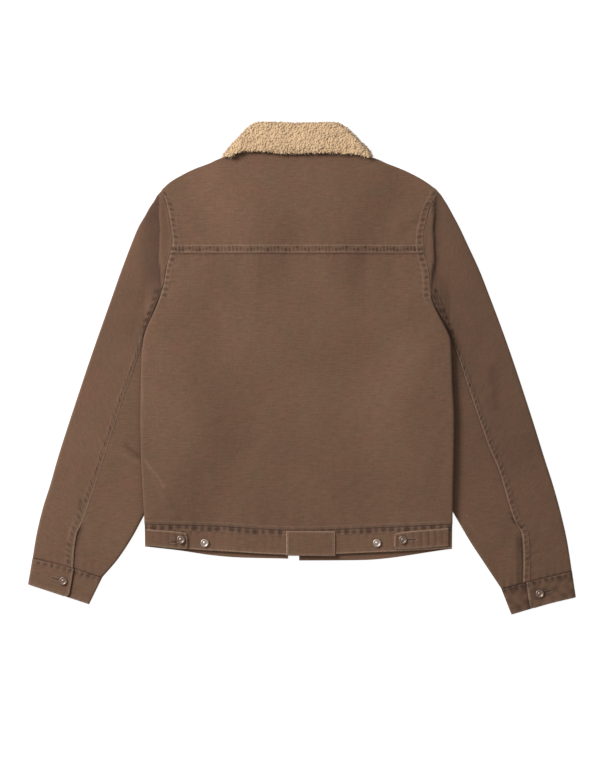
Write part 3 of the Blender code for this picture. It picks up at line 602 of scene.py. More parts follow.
def add(tree, kind, values=(), **settings):
    """A node with its settings and its input values or links, given by name or number."""
    node = tree.nodes.new(kind)
    for word, value in settings.items():
        setattr(node, word, value)
    for socket, value in dict(values).items():
        if isinstance(value, bpy.types.NodeSocket):
            tree.links.new(value, node.inputs[socket])
        else:
            node.inputs[socket].default_value = value
    return node


def maths(tree, operation, a, b):
    return add(tree, "ShaderNodeMath", {0: a, 1: b}, operation=operation).outputs[0]


def blend_colours(tree, share, a, b):
    node = add(tree, "ShaderNodeMix", {0: share}, data_type="RGBA", blend_type="MIX")
    for socket, value in ((node.inputs[6], a), (node.inputs[7], b)):
        if isinstance(value, bpy.types.NodeSocket):
            tree.links.new(value, socket)
        else:
            socket.default_value = (*value, 1.0)
    return node.outputs[2]


def noise(tree, scale, detail, where):
    return add(tree, "ShaderNodeTexNoise", {"Scale": scale, "Detail": detail, "Vector": where}).outputs["Fac"]


def spread_about(tree, value, low, high):
    """Maps a noise value from its useful middle range to low..high."""
    return add(tree, "ShaderNodeMapRange", {0: value, 1: 0.3, 2: 0.7, 3: low, 4: high}).outputs[0]


def object_place(tree):
    return add(tree, "ShaderNodeTexCoord").outputs["Object"]


def shaded(tree, colour, shade):
    return add(tree, "ShaderNodeVectorMath", {0: colour, "Scale": shade}, operation="SCALE").outputs[0]


def bump(tree, strength, distance, height, others=()):
    values = {"Strength": strength, "Distance": distance, "Height": height, **dict(others)}
    return add(tree, "ShaderNodeBump", values).outputs[0]


def brighter(colour, times):
    return tuple(times * c for c in colour)


# %% Canvas
CANVAS = (0.1400, 0.0715, 0.0438)
CANVAS_OLIVE = (0.1290, 0.0740, 0.0438)
CANVAS_PALE = (0.330, 0.215, 0.145)
# Painted shade: the colour the dark attribute blends the canvas towards.
CANVAS_SHADE = (0.036, 0.019, 0.013)
YARNS_PER_METRE = 1500.0
STREAKS = (55.0, 420.0)  # streaks of dye a metre, across and along the cloth


def canvas(name, brightness=1.0):
    made, tree, shader = new_material(name, 0.9, Sheen_Weight=0.1, Sheen_Roughness=0.5, Specular_IOR_Level=0.2)
    where = object_place(tree)
    cloth = add(tree, "ShaderNodeUVMap", uv_map="cloth").outputs[0]
    stretched = add(tree, "ShaderNodeVectorMath", {0: cloth, 1: (*STREAKS, 1.0)}, operation="MULTIPLY")
    clouds = spread_about(tree, noise(tree, 9.0, 3.0, where), 0.93, 1.07)
    streaks = spread_about(tree, noise(tree, 1.0, 3.0, stretched.outputs[0]), 0.90, 1.10)
    mottle = spread_about(tree, noise(tree, 260.0, 3.0, where), 0.93, 1.07)
    shade = maths(tree, "MULTIPLY", maths(tree, "MULTIPLY", clouds, mottle), streaks)
    hue = spread_about(tree, noise(tree, 45.0, 3.0, where), 0.0, 1.0)
    base = blend_colours(tree, hue, brighter(CANVAS, brightness), brighter(CANVAS_OLIVE, brightness))
    tone = shaded(tree, base, shade)
    pale = add(tree, "ShaderNodeAttribute", attribute_name="pale").outputs["Fac"]
    dark = add(tree, "ShaderNodeAttribute", attribute_name="dark").outputs["Fac"]
    # Paler with worn dye and with painted highlights; darker with painted shade in puckers, grooves and folds,
    # beside the body, and up the sleeves.
    wear_and_highlight = maths(tree, "MULTIPLY", pale, spread_about(tree, noise(tree, 420.0, 2.0, where), 0.25, 0.95))
    tone = blend_colours(tree, wear_and_highlight, tone, brighter(CANVAS_PALE, brightness))
    tone = blend_colours(tree, maths(tree, "MULTIPLY", dark, 0.8), tone, brighter(CANVAS_SHADE, brightness))
    tree.links.new(tone, shader.inputs["Base Color"])

    yarns = []
    for direction in ("X", "Y"):
        values = {"Vector": cloth, "Scale": YARNS_PER_METRE / 20.0, "Distortion": 0.6, "Detail Scale": 3.0}
        yarns.append(add(tree, "ShaderNodeTexWave", values, bands_direction=direction).outputs["Fac"])
    weave = maths(tree, "ADD", yarns[0], yarns[1])
    fuzz = maths(tree, "MULTIPLY", noise(tree, 700.0, 3.0, where), 1.4)
    fine = bump(tree, 0.16, 0.0003, maths(tree, "ADD", weave, fuzz))
    dents = bump(tree, 0.35, 0.003, noise(tree, 70.0, 4.0, where), {"Normal": fine})
    tree.links.new(dents, shader.inputs["Normal"])
    return made


canvas_cloth = canvas("canvas_washed")
canvas_trim = canvas("canvas_trim", 1.06)
print("materials", canvas_cloth.name, canvas_trim.name)

# %% Fleece, thread and metal
def fleece(name, colour):
    made, tree, shader = new_material(name, 0.95, Sheen_Weight=0.35, Sheen_Roughness=0.6, Specular_IOR_Level=0.2)
    where = object_place(tree)
    soft = spread_about(tree, noise(tree, 50.0, 3.0, where), 0.90, 1.08)
    fine = spread_about(tree, noise(tree, 420.0, 3.0, where), 0.92, 1.06)
    shade = maths(tree, "MULTIPLY", soft, fine)
    tree.links.new(shaded(tree, colour, shade), shader.inputs["Base Color"])
    tree.links.new(bump(tree, 0.35, 0.0015, noise(tree, 500.0, 4.0, where)), shader.inputs["Normal"])
    return made


def metal(name, light, deep):
    made, tree, shader = new_material(name, 0.4, Metallic=1.0)
    where = object_place(tree)
    stain = noise(tree, 380.0, 4.0, where)
    tone = blend_colours(tree, spread_about(tree, stain, 0.0, 1.0), light, deep)
    tree.links.new(tone, shader.inputs["Base Color"])
    tree.links.new(spread_about(tree, stain, 0.34, 0.55), shader.inputs["Roughness"])
    return made


def thread(name, colour):
    made, tree, shader = new_material(name, 0.7, Sheen_Weight=0.1)
    where = object_place(tree)
    shade = spread_about(tree, noise(tree, 300.0, 2.0, where), 0.75, 1.2)
    tree.links.new(shaded(tree, colour, shade), shader.inputs["Base Color"])
    return made


FLEECE_COLOUR = (0.530, 0.360, 0.202)
pile = fleece("fleece_curly", FLEECE_COLOUR)
# The backing is a little darker than the curls: painted shade where it shows in the gaps between them.
backing = fleece("fleece_backing_shaded", brighter(FLEECE_COLOUR, 0.95))
bright_metal = metal("metal_antique", (0.62, 0.52, 0.46), (0.38, 0.30, 0.25))
dull_metal = metal("metal_aged", (0.36, 0.27, 0.22), (0.19, 0.13, 0.10))
topstitch = thread("thread_topstitch", (0.178, 0.104, 0.070))
print("materials", pile.name, backing.name, bright_metal.name, dull_metal.name, topstitch.name)

# %% [markdown]
# ## Back and fronts
# The back is two pieces, a yoke across the shoulders and a long panel below it, and the two fronts lie
# underneath. Each one is a row of sections across the body: flat in the middle, rounded where the side is a
# fold, cut straight where a sleeve is sewn in. The panels are sewn side to side, so their ends stop a hair
# apart.

# %% One section of the body
FOLD_STEPS = 6
FOLD = np.linspace(0.0, np.pi / 2.0, FOLD_STEPS + 1)
CRISP = 0.6  # washed canvas folds sharper than a round tube


def across(width, thick, wall, fold_left, fold_right, is_inner, count):
    """Section of one ply: distance from the left edge, and height over the stack's middle."""
    radius = thick / 2.0
    deep = radius - wall if is_inner else radius
    round_in, height = radius - deep * np.cos(FOLD), deep * np.sin(FOLD)
    if not is_inner:
        round_in = round_in * CRISP
    cut = radius - radius * np.cos(FOLD)
    left = round_in * fold_left + cut * (1.0 - fold_left)
    right = round_in * fold_right + cut * (1.0 - fold_right)
    left_z = height * fold_left + deep * (1.0 - fold_left)
    right_z = height * fold_right + deep * (1.0 - fold_right)
    middle = np.linspace(radius, width - radius, count + 2)[1:-1]
    return (np.concatenate([left, middle, (width - right)[::-1]]),
            np.concatenate([left_z, np.full(count, deep), right_z[::-1]]))


def fold_share(y):
    """1 where the body's edge is a fold, 0 along the open armhole."""
    return np.maximum(smooth((y - SHOULDER_Y + 2.0) / 6.0), smooth((UNDERARM_Y - y) / 20.0))


FOLLOW_REACH = 60.0
NECK_BEND = (640.0, 60.0)  # the levels bow from here on up, over this span


def follow(x, y, last):
    """Bends a level near the body's lower end until the last one runs along the hem's seam."""
    near = smooth((last + FOLLOW_REACH - y) / FOLLOW_REACH)
    return np.full_like(x, y) * (1.0 - near) + (line(HEM_SEAM, x) + SEAM / 2.0 + (y - last)) * near


def back_ply(rows_y, is_yoke):
    """Outer and inner grids of a back piece, and how far each point lies from the body's nearer edge."""
    outer, inner, from_edge = [], [], []
    for y in rows_y:
        left, right = body_edges(y)
        fold = fold_share(y)
        for rows, is_inner in ((outer, False), (inner, True)):
            reach, height = across(right - left, stack(y), BODY_WALL, fold, fold, is_inner, BACK_COUNT)
            x = left + reach
            if is_yoke:
                bow = NECK_BOW * smooth((y - NECK_BEND[0]) / NECK_BEND[1])
                level = np.full_like(x, y) - bow * np.sin(np.pi * reach / (right - left))
            else:
                level = follow(x, y, rows_y[-1])
            z = lift(x, level) + stack(y) / 2.0 + np.maximum(height, SEAM / 2.0)
            rows.append(np.stack([x, level, z], axis=1))
        from_edge.append(np.minimum(reach, right - left - reach))
    return np.array(outer), np.array(inner), np.array(from_edge)


# %% Back yoke and back panel
BACK_COUNT = 250  # samples across the back
SEAM_BAND = 13.6  # a felled seam, two rows of stitches
ARMHOLE_BAND = 12.4
NECK_Y, HEM_Y = 696.0, 54.0
YOKE_LAP, BAND_LAP = 1.0, 1.2  # the yoke laps over the panel's top edge, and the hem band under its lower edge
ROW_IN = 1.9  # a row of stitches lies this far inside a band's edge


def armhole_relief(relief, points, from_edge, phase):
    """The puckered band along an armhole, only where the edge is not a fold."""
    y = points[..., 1]
    sewn = 1.0 - fold_share(y)
    part = Relief(y.shape)
    part.seam(from_edge - 0.6, y, ARMHOLE_BAND, 0.6, 9.5, 0.8, phase, slant=0.15, painted_shade=1.15, rims=(0.6, 0.3))
    part.fade(from_edge - ARMHOLE_BAND, y, 7.0, 11.0, 0.35, phase)
    part.ditch(from_edge, 0.2, 0.5, painted_shade=0.12)
    relief.lay(part, sewn, sewn)


def sew_armholes(outer, low, high):
    """Two rows of stitches inside each armhole band, between two levels of y."""
    half = outer.shape[1] // 2
    level = outer[:, half, 1]
    rows = outer[(level > low) & (level < high)]
    for part, edge in ((rows[:, :half], 0), (rows[:, half:], -1)):
        reach = np.abs(part[..., 0] - part[:, [edge], 0])
        sew_at(part, reach, (ROW_IN, ARMHOLE_BAND - 1.2), along_rows=True)


def make_yoke():
    rows_y = levels((NECK_Y, 4.0), (SHOULDER_Y, 1.7), (YOKE_Y + 18.0, 0.8), (YOKE_Y - YOKE_LAP, 0.8))
    outer, inner, from_edge = back_ply(rows_y, True)
    x, y = outer[..., 0], outer[..., 1]
    relief = Relief(x.shape)
    above = y - YOKE_Y
    stronger = 0.75 + 0.35 * smooth((x - 90.0) / 60.0) + 0.2 * smooth((-170.0 - x) / 30.0)
    band = Relief(x.shape)
    band.seam(above - 0.6, x, SEAM_BAND, 0.75, 6.1, 0.6, 0.4, slant=0.05, painted_shade=1.6, rims=(0.8, 0.45))
    relief.lay(band, stronger, 1.0)
    relief.fade(above - SEAM_BAND, x, 8.0, 12.5, 0.3, 1.3, painted_shade=0.15)
    relief.ditch(above + 1.0, 0.45, 0.8, painted_shade=0.5)
    armhole_relief(relief, outer, from_edge, 0.8)
    relief.crease(x, y, YOKE_CREASES)
    outer[..., 2] += relief.height
    sew_at(outer, above, (ROW_IN, SEAM_BAND - 1.4))
    sew_armholes(outer, YOKE_Y + 2.0, SHOULDER_Y - 6.0)
    return skin("back_yoke", outer, inner, relief)


def make_back():
    rows_y = levels((YOKE_Y - SEAM / 2.0, 1.3), (UNDERARM_Y, 3.4), (HEM_Y + 22.0, 1.5), (HEM_Y, 1.0))
    outer, inner, from_edge = back_ply(rows_y, False)
    x, y = outer[..., 0], outer[..., 1]
    relief = Relief(x.shape)
    relief.ditch(YOKE_Y - 1.0 - y, 0.7, 2.2, painted_shade=0.95)
    relief.fade(YOKE_Y - y, x, 9.0, 12.2, 0.35, 2.1, painted_shade=0.12)
    relief.fade(YOKE_Y - y, x, 60.0, 47.0, 0.5, 0.3, painted_shade=0.10)
    above_hem = y - line(HEM_SEAM, x)
    relief.seam(above_hem, x, 7.0, 0.35, 13.6, 0.35, 0.2, painted_shade=0.30, rims=(0.12, 0.2))
    relief.ditch(above_hem, 0.5, 2.2, painted_shade=1.0)
    relief.fade(above_hem, x, 30.0, 33.0, 0.4, 0.9, painted_shade=0.10)
    armhole_relief(relief, outer, from_edge, 1.9)
    relief.crease(x, y, BACK_CREASES)
    # Painted highlights on the left, the lamp's side.
    relief.paint_highlights_and_shade(x, y, BACK_HIGHLIGHTS)
    folded = bell(from_edge, 2.6, 1.4) * fold_share(y) * (0.75 + 0.25 * ripple(y, 23.0, 0.4))
    relief.pale += 0.4 * folded
    outer[..., 2] += relief.height
    sew_at(outer, above_hem, (ROW_IN, 6.0))
    sew_armholes(outer, UNDERARM_Y + 8.0, YOKE_Y - 3.0)
    return skin("back_panel", outer, inner, relief)


YOKE_CREASES = (
    # from x, y, to x, y, half width, height
    (-226.0, 600.0, -150.0, 545.0, 10.0, 0.9), (-224.0, 580.0, -168.0, 532.0, 7.0, -0.7),
    (226.0, 604.0, 152.0, 548.0, 10.0, 0.8), (222.0, 578.0, 170.0, 536.0, 7.0, -0.7),
    (-120.0, 676.0, -160.0, 600.0, 9.0, 0.6), (118.0, 676.0, 164.0, 604.0, 9.0, 0.6),
    (-40.0, 672.0, -52.0, 590.0, 22.0, -0.25), (62.0, 672.0, 50.0, 580.0, 22.0, 0.25),
)
BACK_CREASES = (
    # from x, y, to x, y, half width, height
    (-222.0, 470.0, -150.0, 380.0, 12.0, 0.9), (-236.0, 430.0, -186.0, 340.0, 9.0, -0.7),
    (224.0, 470.0, 150.0, 384.0, 12.0, 0.9), (234.0, 428.0, 190.0, 342.0, 9.0, -0.7),
    (-110.0, 490.0, -96.0, 300.0, 26.0, 0.3), (-30.0, 490.0, -44.0, 280.0, 28.0, -0.3),
    (84.0, 490.0, 70.0, 290.0, 27.0, 0.3), (150.0, 300.0, 120.0, 90.0, 24.0, 0.5),
    (-150.0, 300.0, -130.0, 80.0, 24.0, 0.5), (10.0, 260.0, 4.0, 70.0, 26.0, 0.4),
    (-262.0, 170.0, -206.0, 74.0, 3.6, 1.1), (-264.0, 150.0, -224.0, 86.0, 7.0, -0.8),
    (-238.0, 220.0, -196.0, 120.0, 14.0, 0.6), (240.0, 240.0, 204.0, 96.0, 12.0, 0.6),
    (256.0, 190.0, 226.0, 70.0, 8.0, -0.6),
)
# Painted highlights on the lamp's side: on a crease near the left hem corner and along the left fold edge.
BACK_HIGHLIGHTS = (
    # from x, y, to x, y, half width, strength
    (-260.0, 166.0, -222.0, 112.0, 2.4, 0.24), (-262.0, 300.0, -261.0, 190.0, 1.6, 0.2),
)

yoke = make_yoke()
finish_cloth(yoke, "back_yoke", canvas_cloth)
back = make_back()
finish_cloth(back, "back_panel", canvas_cloth)

# %% [markdown]
# The fronts are only seen from below, so they take fewer steps. The facing along each front edge is a
# separate strip, as on the real garment, where it carries the buttons.

# %% Fronts and facings
# Each stop is a level and the step below it.
FRONT_STOPS = ((677.0, 4.0), (645.5, 1.0), (637.0, 5.0), (UNDERARM_Y, 7.0), (HEM_Y, 7.0))
FACING_STOPS = ((640.0, 6.0), (HEM_Y, 6.0))
FACING_TIP, FACING_TAPER = 658.0, 38.0  # the facing narrows upwards, as if to a tip at this level
FACING_TOP = 645.0  # above this the front reaches the neckline itself


def front_x(side, y):
    """x of a front's free edge: the centre edge below the neck, the neckline above it."""
    table = np.array(NECK_LINE)
    edge = FRONT_EDGE[0] if side < 0 else FRONT_EDGE[1]
    return edge + side * np.interp(y, table[:, 0], table[:, 1])


def make_front(name, side, is_facing):
    rows_y = levels(*(FACING_STOPS if is_facing else FRONT_STOPS))
    outer, inner = [], []
    for y in rows_y:
        left, right = body_edges(y)
        facing = PLACKET * smooth((FACING_TIP - y) / FACING_TAPER)
        free = front_x(side, y) + side * (0.0 if is_facing or y > FACING_TOP else facing + SEAM)
        start = front_x(side, y) + side * facing if is_facing else (left if side < 0 else right)
        fold = 0.0 if is_facing else fold_share(y)
        for rows, is_inner in ((outer, False), (inner, True)):
            count = 8 if is_facing else 34
            reach, height = across(abs(free - start), stack(y), BODY_WALL, fold, 0.0, is_inner, count)
            x = start - side * reach
            level = follow(x, y, rows_y[-1])
            z = lift(x, level) + stack(y) / 2.0 - np.maximum(height, SEAM / 2.0)
            rows.append(np.stack([x, level, z], axis=1))
    return skin(name, np.array(outer), np.array(inner))


for side, word in ((-1, "left"), (1, "right")):
    for part, cut in (("front", (0.29, 0.64)), ("placket", (0.05, 0.60))):
        name = f"{part}_{word}"
        finish_cloth(make_front(name, side, part == "placket"), name, canvas_cloth)

# %% [markdown]
# ## Hem band
# A doubled strip of canvas closes the lower edge. It is cut on the straight and eased onto the body, which
# is why it puckers in deep blobs under its seam, and its lower edge has rubbed pale.

# %% Hem band
def make_band(name, side_from, side_to, bottom, upper):
    """A strip of the hem band, from the body's side; the upper one is seen, the lower ones hardly."""
    outer, inner = [], []
    width = abs(side_to - side_from)
    count, steps = (350, 44) if upper else (60, 12)
    for share in np.linspace(0.0, 1.0, steps):
        for rows, is_inner in ((outer, False), (inner, True)):
            reach, height = across(width, HEM_STACK, BAND_WALL, 1.0, float(upper), is_inner, count)
            x = side_from + np.sign(side_to - side_from) * reach
            y = (line(HEM_SEAM, x) + BAND_LAP * upper) * (1.0 - share) + line(bottom, x) * share
            z = lift(x, y) + HEM_STACK / 2.0 + (1.0 if upper else -1.0) * np.maximum(height, SEAM / 2.0)
            rows.append(np.stack([x, y, z], axis=1))
    outer, inner = np.array(outer), np.array(inner)
    relief = Relief(outer.shape[:2])
    x, y = outer[..., 0], outer[..., 1]
    below, above = line(HEM_SEAM, x) - y, y - line(bottom, x)
    if upper:
        relief.seam(below + 2.2, x, 13.5, 0.2, 13.6, 1.2, 0.2, slant=0.05, painted_shade=1.9, rims=(0.0, 0.0))
        relief.fade(below - 10.0, x, 12.0, 13.6, 0.5, 0.2, painted_shade=0.3)
        relief.ditch(below, 0.4, 0.9, painted_shade=0.85)
        relief.seam(above, x, 8.0, 0.15, 14.0, 0.3, 1.6, painted_shade=0.22, rims=(1.4, 0.0))
        relief.height -= 0.5 * (1.0 - smooth(above / 2.2))
        outer[..., 2] += relief.height
        sew_at(outer, below, (ROW_IN,))
        sew_at(outer, above, (3.4,))
    else:
        relief.pale += 0.6 * bell(above, 1.2, 1.6)
    return skin(name, outer, inner, relief)


BAND_MIDDLE_Y = 30.0
band_left, band_right = body_edges(BAND_MIDDLE_Y)
hem_back = make_band("hem_band_back", band_left, band_right, BACK_HEM, True)
finish_cloth(hem_back, "hem_band_back", canvas_trim)
for side_from, side_to, word in ((band_left, FRONT_EDGE[0], "left"), (band_right, FRONT_EDGE[1], "right")):
    hem_front = make_band(f"hem_band_front_{word}", side_from, side_to, FRONT_HEM, False)
    finish_cloth(hem_front, f"hem_band_front_{word}", canvas_trim)

# %% [markdown]
# ## Sleeves
# A two-piece sleeve lies flat as a tube: the upper half holds the outer fold, the under half the inner one,
# and both reach the topstitched seam down the back of the arm. Its sections turn from the armhole's line to
# the cuff's.

# %% Sleeves
SLEEVE_FOLD_STEPS, ACROSS_HALF, SLEEVE_STEPS = 6, 40, 320
ARMHOLE_AIR, SLEEVE_AIR = 0.05, 1.2
SLEEVE_LAP = 0.7  # on top the upper sleeve laps this far over the under sleeve
TUCK = {-1: 2.3, 1: 4.2}  # how far the inner fold is pushed towards the body's side
FINE_EDGE, FINE_SHARE = 18.0, 0.3  # the samples stand closer in the last part before the seam
ARMHOLE_TOP, ARMHOLE_END = 620.9, 441.2


def sleeve_section(side, k):
    """The table's row at a place between rows: outer x, y, seam x, y, inner x, y, bow, rise."""
    plan = np.array(SLEEVE_ROWS[side])
    ends = np.zeros((len(plan), 2))
    ends[:len(SLEEVE_TOP)] = SLEEVE_TOP
    return np.array([curve(np.arange(len(plan)), values, k) for values in np.hstack([plan, ends]).T])


def armhole(side, share, air):
    """The armhole from the shoulder, 0, to the underarm, 1, a little outside the body's edge."""
    y = np.linspace(ARMHOLE_TOP, ARMHOLE_END, 90)
    x = body_edges(y)[side > 0]
    travelled = travelled_along(np.column_stack([x, y]))
    travelled /= travelled[-1]
    return np.interp(share, travelled, x) + side * air, np.interp(share, travelled, y)


def sleeve_place(side, row, first, share):
    """Places across the sleeve at one row: on its bent line, and on the armhole's curve near the body."""
    def bent(r):
        lengths = np.array([np.hypot(r[2] - r[0], r[3] - r[1]), np.hypot(r[4] - r[2], r[5] - r[3])])
        knee = lengths[0] / lengths.sum()
        return [np.interp(share, (0, knee, 1), r[c:6:2]) for c in (0, 1)]
    tucked = SLEEVE_AIR - TUCK[side] * smooth((share - 0.7) / 0.3)
    air = tucked + (ARMHOLE_AIR - tucked) * smooth((row[6] - 0.92) / 0.08)
    (x, y), (x0, y0), (ax, ay) = bent(row), bent(first), armhole(side, share, air)
    return x + row[6] * (ax - x0), y + row[6] * (ay - y0)


ROLL_X = {-1: (231.0, 234.6), 1: (227.0, 232.4)}  # the roll's outer edge at its lower end and above it
ROLL_TOP, ROLL_END = 620.0, 452.0
RIDGE, VALLEY = {-1: 1.3, 1: 2.6}, {-1: 1.2, 1: 1.4}  # height of the roll, and depth of the hollow outside it
ROLL_SHADE = {-1: (34.0, 0.50, 0.52), 1: (10.0, 0.20, 0.30)}  # reach of the painted shade in the hollow, its strength at the roll's edge and across the hollow


def sleeve_roll(side, x, y):
    """The roll of cloth beside the armhole: a soft swell, its sharp outer edge, and the hollow beyond it, which
    gets painted shade.
    """
    edge = np.interp(y, (ROLL_END, ROLL_END + 45.0), ROLL_X[side])
    out = np.abs(x) - edge - 0.8 * np.sin(y / 13.0) - 0.5 * np.sin(y / 5.7 + 1.0)
    swell = smooth((out + 15.0) / 12.0) * smooth((1.0 - out) / 3.0)
    hollow = smooth((out + 1.0) / 3.0) * smooth((36.0 - out) / 34.0)
    where = smooth((ROLL_TOP - y) / 14.0) * smooth((y - ROLL_END) / 26.0)
    reach, near, wide = ROLL_SHADE[side]
    shade = near * dying(out, 3.2) + wide * smooth((1.3 * reach - out) / reach)
    shade *= smooth((out + 0.8) / 1.6) * (0.85 + 0.3 * smooth((530.0 - y) / 70.0))
    shade *= smooth((ROLL_TOP - y) / 14.0) * smooth((y - 420.0) / 60.0)
    return RIDGE[side] * swell * where, VALLEY[side] * hollow * where, shade


def sleeve_half(side, outer_half):
    """Grids of half a sleeve, the distance from the seam, how far on top a point lies, and the rows' places."""
    last = len(SLEEVE_ROWS[side]) - 1
    first = sleeve_section(side, 0.0)
    fine = np.linspace(0.0, last, 400)
    middle = np.array([sleeve_section(side, k)[2:4] for k in fine])
    travelled = travelled_along(middle)
    at_k = np.interp(np.linspace(0.0, travelled[-1], SLEEVE_STEPS), travelled, fine)
    turn = np.linspace(-np.pi / 2.0, np.pi / 2.0, 2 * SLEEVE_FOLD_STEPS + 1)
    outer, inner, from_seam, tops = [], [], [], []
    side_table = np.array(SIDE_ROWS)
    for k in at_k:
        row = sleeve_section(side, k)
        to_seam = np.hypot(row[2] - row[0], row[3] - row[1])
        width = to_seam + np.hypot(row[4] - row[2], row[5] - row[3])
        radius = np.interp(k, (0, last - 3, last), (SLEEVE_STACK, SLEEVE_STACK, HEM_STACK)) / 2.0
        near = to_seam if outer_half else width - to_seam
        for grid, is_inner in ((outer, False), (inner, True)):
            deep = radius - SLEEVE_WALL if is_inner else radius
            under = np.linspace(near - SEAM / 2.0, radius, ACROSS_HALF // 3 + 1)[:-1]
            fine_from = max(radius + FINE_SHARE * (near - radius), near - FINE_EDGE)
            last_reach = near + SLEEVE_LAP if outer_half else near - SEAM / 2.0
            upper = [np.linspace(start, end, ACROSS_HALF // 2 + 1)[1:]
                     for start, end in ((radius, fine_from), (fine_from, last_reach))]
            reach = np.concatenate([under, radius - deep * np.cos(turn), *upper])
            height = np.concatenate([np.full(len(under), -deep), deep * np.sin(turn), np.full(ACROSS_HALF, deep)])
            share = (reach if outer_half else width - reach) / width
            x, y = sleeve_place(side, row, first, share)
            base = LIFT_SIDE * np.interp(y, side_table[:, 0], side_table[:, 1]) * row[7]
            grid.append(np.stack([x, y, base + radius + height], axis=1))
        from_seam.append(near - reach)
        tops.append(smooth(height / deep))
    return (*(np.array(rows) for rows in (outer, inner, from_seam, tops)), at_k)


SLEEVE_BAND = 12.6
PINCHED_FROM = {-1: 3.2, 1: 0.8}  # the pinches keep this far from the seam's folded edge
FOLD_LINE = {-1: 1.0, 1: 0.75}  # how pale that edge has rubbed
WEDGE_ROW = 6.0  # above this row of the table the seam runs close beside the body
SEAM_PACE = ((0.0, 150.0, 950.0), (0.0, 111.0, 911.0))  # the pinches stand further apart beside the body
BESIDE_BODY = {-1: 0.34, 1: 0.42}  # shade on the sleeve where the body lies on it
SLEEVE_PAINTED_SHADE = {-1: (0.16, 150.0, 260.0), 1: (0.22, 20.0, 180.0)}  # painted shade growing up the sleeve, stronger on the right, away from the lamp: its strength, foot and span
VALLEY_SHADE = {-1: 0.12, 1: 0.34}  # shade in the soft valley beside each vent
VENT_FROM = {-1: 14.0, 1: 14.6}  # the row of the table where the seam opens into the cuff's vent


def make_sleeve_half(name, side, outer_half):
    outer, inner, from_seam, top, at_k = sleeve_half(side, outer_half)
    travelled = np.cumsum(np.linalg.norm(np.diff(outer, axis=0, prepend=outer[:1]), axis=2), axis=0)
    down = np.broadcast_to(travelled[:, -1:], from_seam.shape)
    paced = np.interp(down, *SEAM_PACE)
    x, y = outer[..., 0], outer[..., 1]
    relief = Relief(from_seam.shape)
    vent = smooth((at_k - VENT_FROM[side]) / 0.8)[:, None]
    wedge = (smooth((WEDGE_ROW + 0.4 - at_k) / 1.6) * smooth(at_k / 0.6))[:, None]
    if outer_half:
        relief.seam(from_seam - PINCHED_FROM[side], paced, SLEEVE_BAND, 0.3, 9.4, 0.9, 0.5 + side,
                    slant=-0.12 * side, painted_shade=0.95, rims=(0.0, 0.0))
        relief.height += 0.4 * bump_band(from_seam, SLEEVE_BAND)
        relief.pale += FOLD_LINE[side] * bell(from_seam, 1.4, 1.3)
        relief.fade(from_seam - SLEEVE_BAND, down, 12.0, 17.0, 0.35, 1.1, painted_shade=0.12)
        relief.ditch(from_seam, 0.3, 0.6, painted_shade=0.2)
        relief.keep_wear_and_shade(1.0 - wedge)
        relief.height += 0.9 * vent * smooth((16.0 - from_seam) / 10.0)
    else:
        relief.ditch(from_seam, 0.5, 1.6, painted_shade=1.0)
        relief.fade(from_seam, down, 9.0, 9.4, 0.3, 0.5 + side, painted_shade=0.12)
        relief.height -= 1.1 * vent * smooth((14.0 - from_seam) / 9.0)
        # Painted shadow in the vent's gap, narrowing downwards, and painted shade in the valley beside it.
        narrowing = 3.0 + 6.0 * smooth((at_k[-1] - 0.6 - at_k) / 2.0)[:, None]
        relief.dark += 0.7 * vent * bell(from_seam, 0.0, narrowing)
        relief.dark += VALLEY_SHADE[side] * vent * bell(from_seam, 7.0, 6.5)
    from_armhole = np.linalg.norm(outer - outer[:1], axis=2)
    relief.seam(from_armhole, y, 5.0, 0.25, 8.2, 0.35, 1.4, painted_shade=0.3, rims=(0.0, 0.0))
    relief.ditch(from_armhole, 0.1, 0.6, painted_shade=0.12)
    to_cuff = down[-1:] - down
    relief.fade(to_cuff, from_seam * side, 12.0, 13.0, 0.6, 2.2, painted_shade=0.25)
    relief.ditch(to_cuff, 0.5, 1.0, painted_shade=0.6)
    swell, hollow, shade = sleeve_roll(side, x, y)
    relief.height += swell - hollow
    # Painted shade in the hollow outside the roll.
    relief.dark += shade
    # Painted shadow where the body lies on the sleeve: dark pinches, a dark line along the body's edge and a
    # broad shade near the underarm, and a softer shade further down.
    edge = body_edges(y)[side > 0]
    beside = np.where(y < UNDERARM_Y + 14.0, side * (x - edge), 1.0e3)
    relief.dark += 2.6 * wedge * pinches(beside - 4.5, y, 10.0, 11.2, 0.5 + side) ** 1.4
    relief.dark += 1.1 * wedge * bell(np.maximum(beside, 0.0), 0.0, 2.2)
    relief.dark += 0.12 * wedge * smooth((12.0 - beside) / 8.0)
    relief.dark += BESIDE_BODY[side] * dying(beside, 3.4) * (1.0 - wedge)
    # Painted shade that grows up the sleeve, stronger on the right, away from the lamp.
    lean, foot, span = SLEEVE_PAINTED_SHADE[side]
    relief.dark += lean * smooth((y - foot) / span)
    relief.crease(x, y, SLEEVE_CREASES[side])
    # Painted shade in folds and puckers, and painted highlights on ridges.
    relief.paint_highlights_and_shade(x, y, SLEEVE_HIGHLIGHTS_AND_SHADE[side])
    outer[..., 2] += relief.height * top
    relief.keep_wear_and_shade(top)
    if outer_half:
        seen = np.ix_(at_k > WEDGE_ROW, np.arange(outer.shape[1] - ACROSS_HALF, outer.shape[1]))
        sew_at(outer[seen], from_seam[seen], (ROW_IN, SLEEVE_BAND - 1.6), along_rows=True)
    return skin(name, outer, inner, relief)


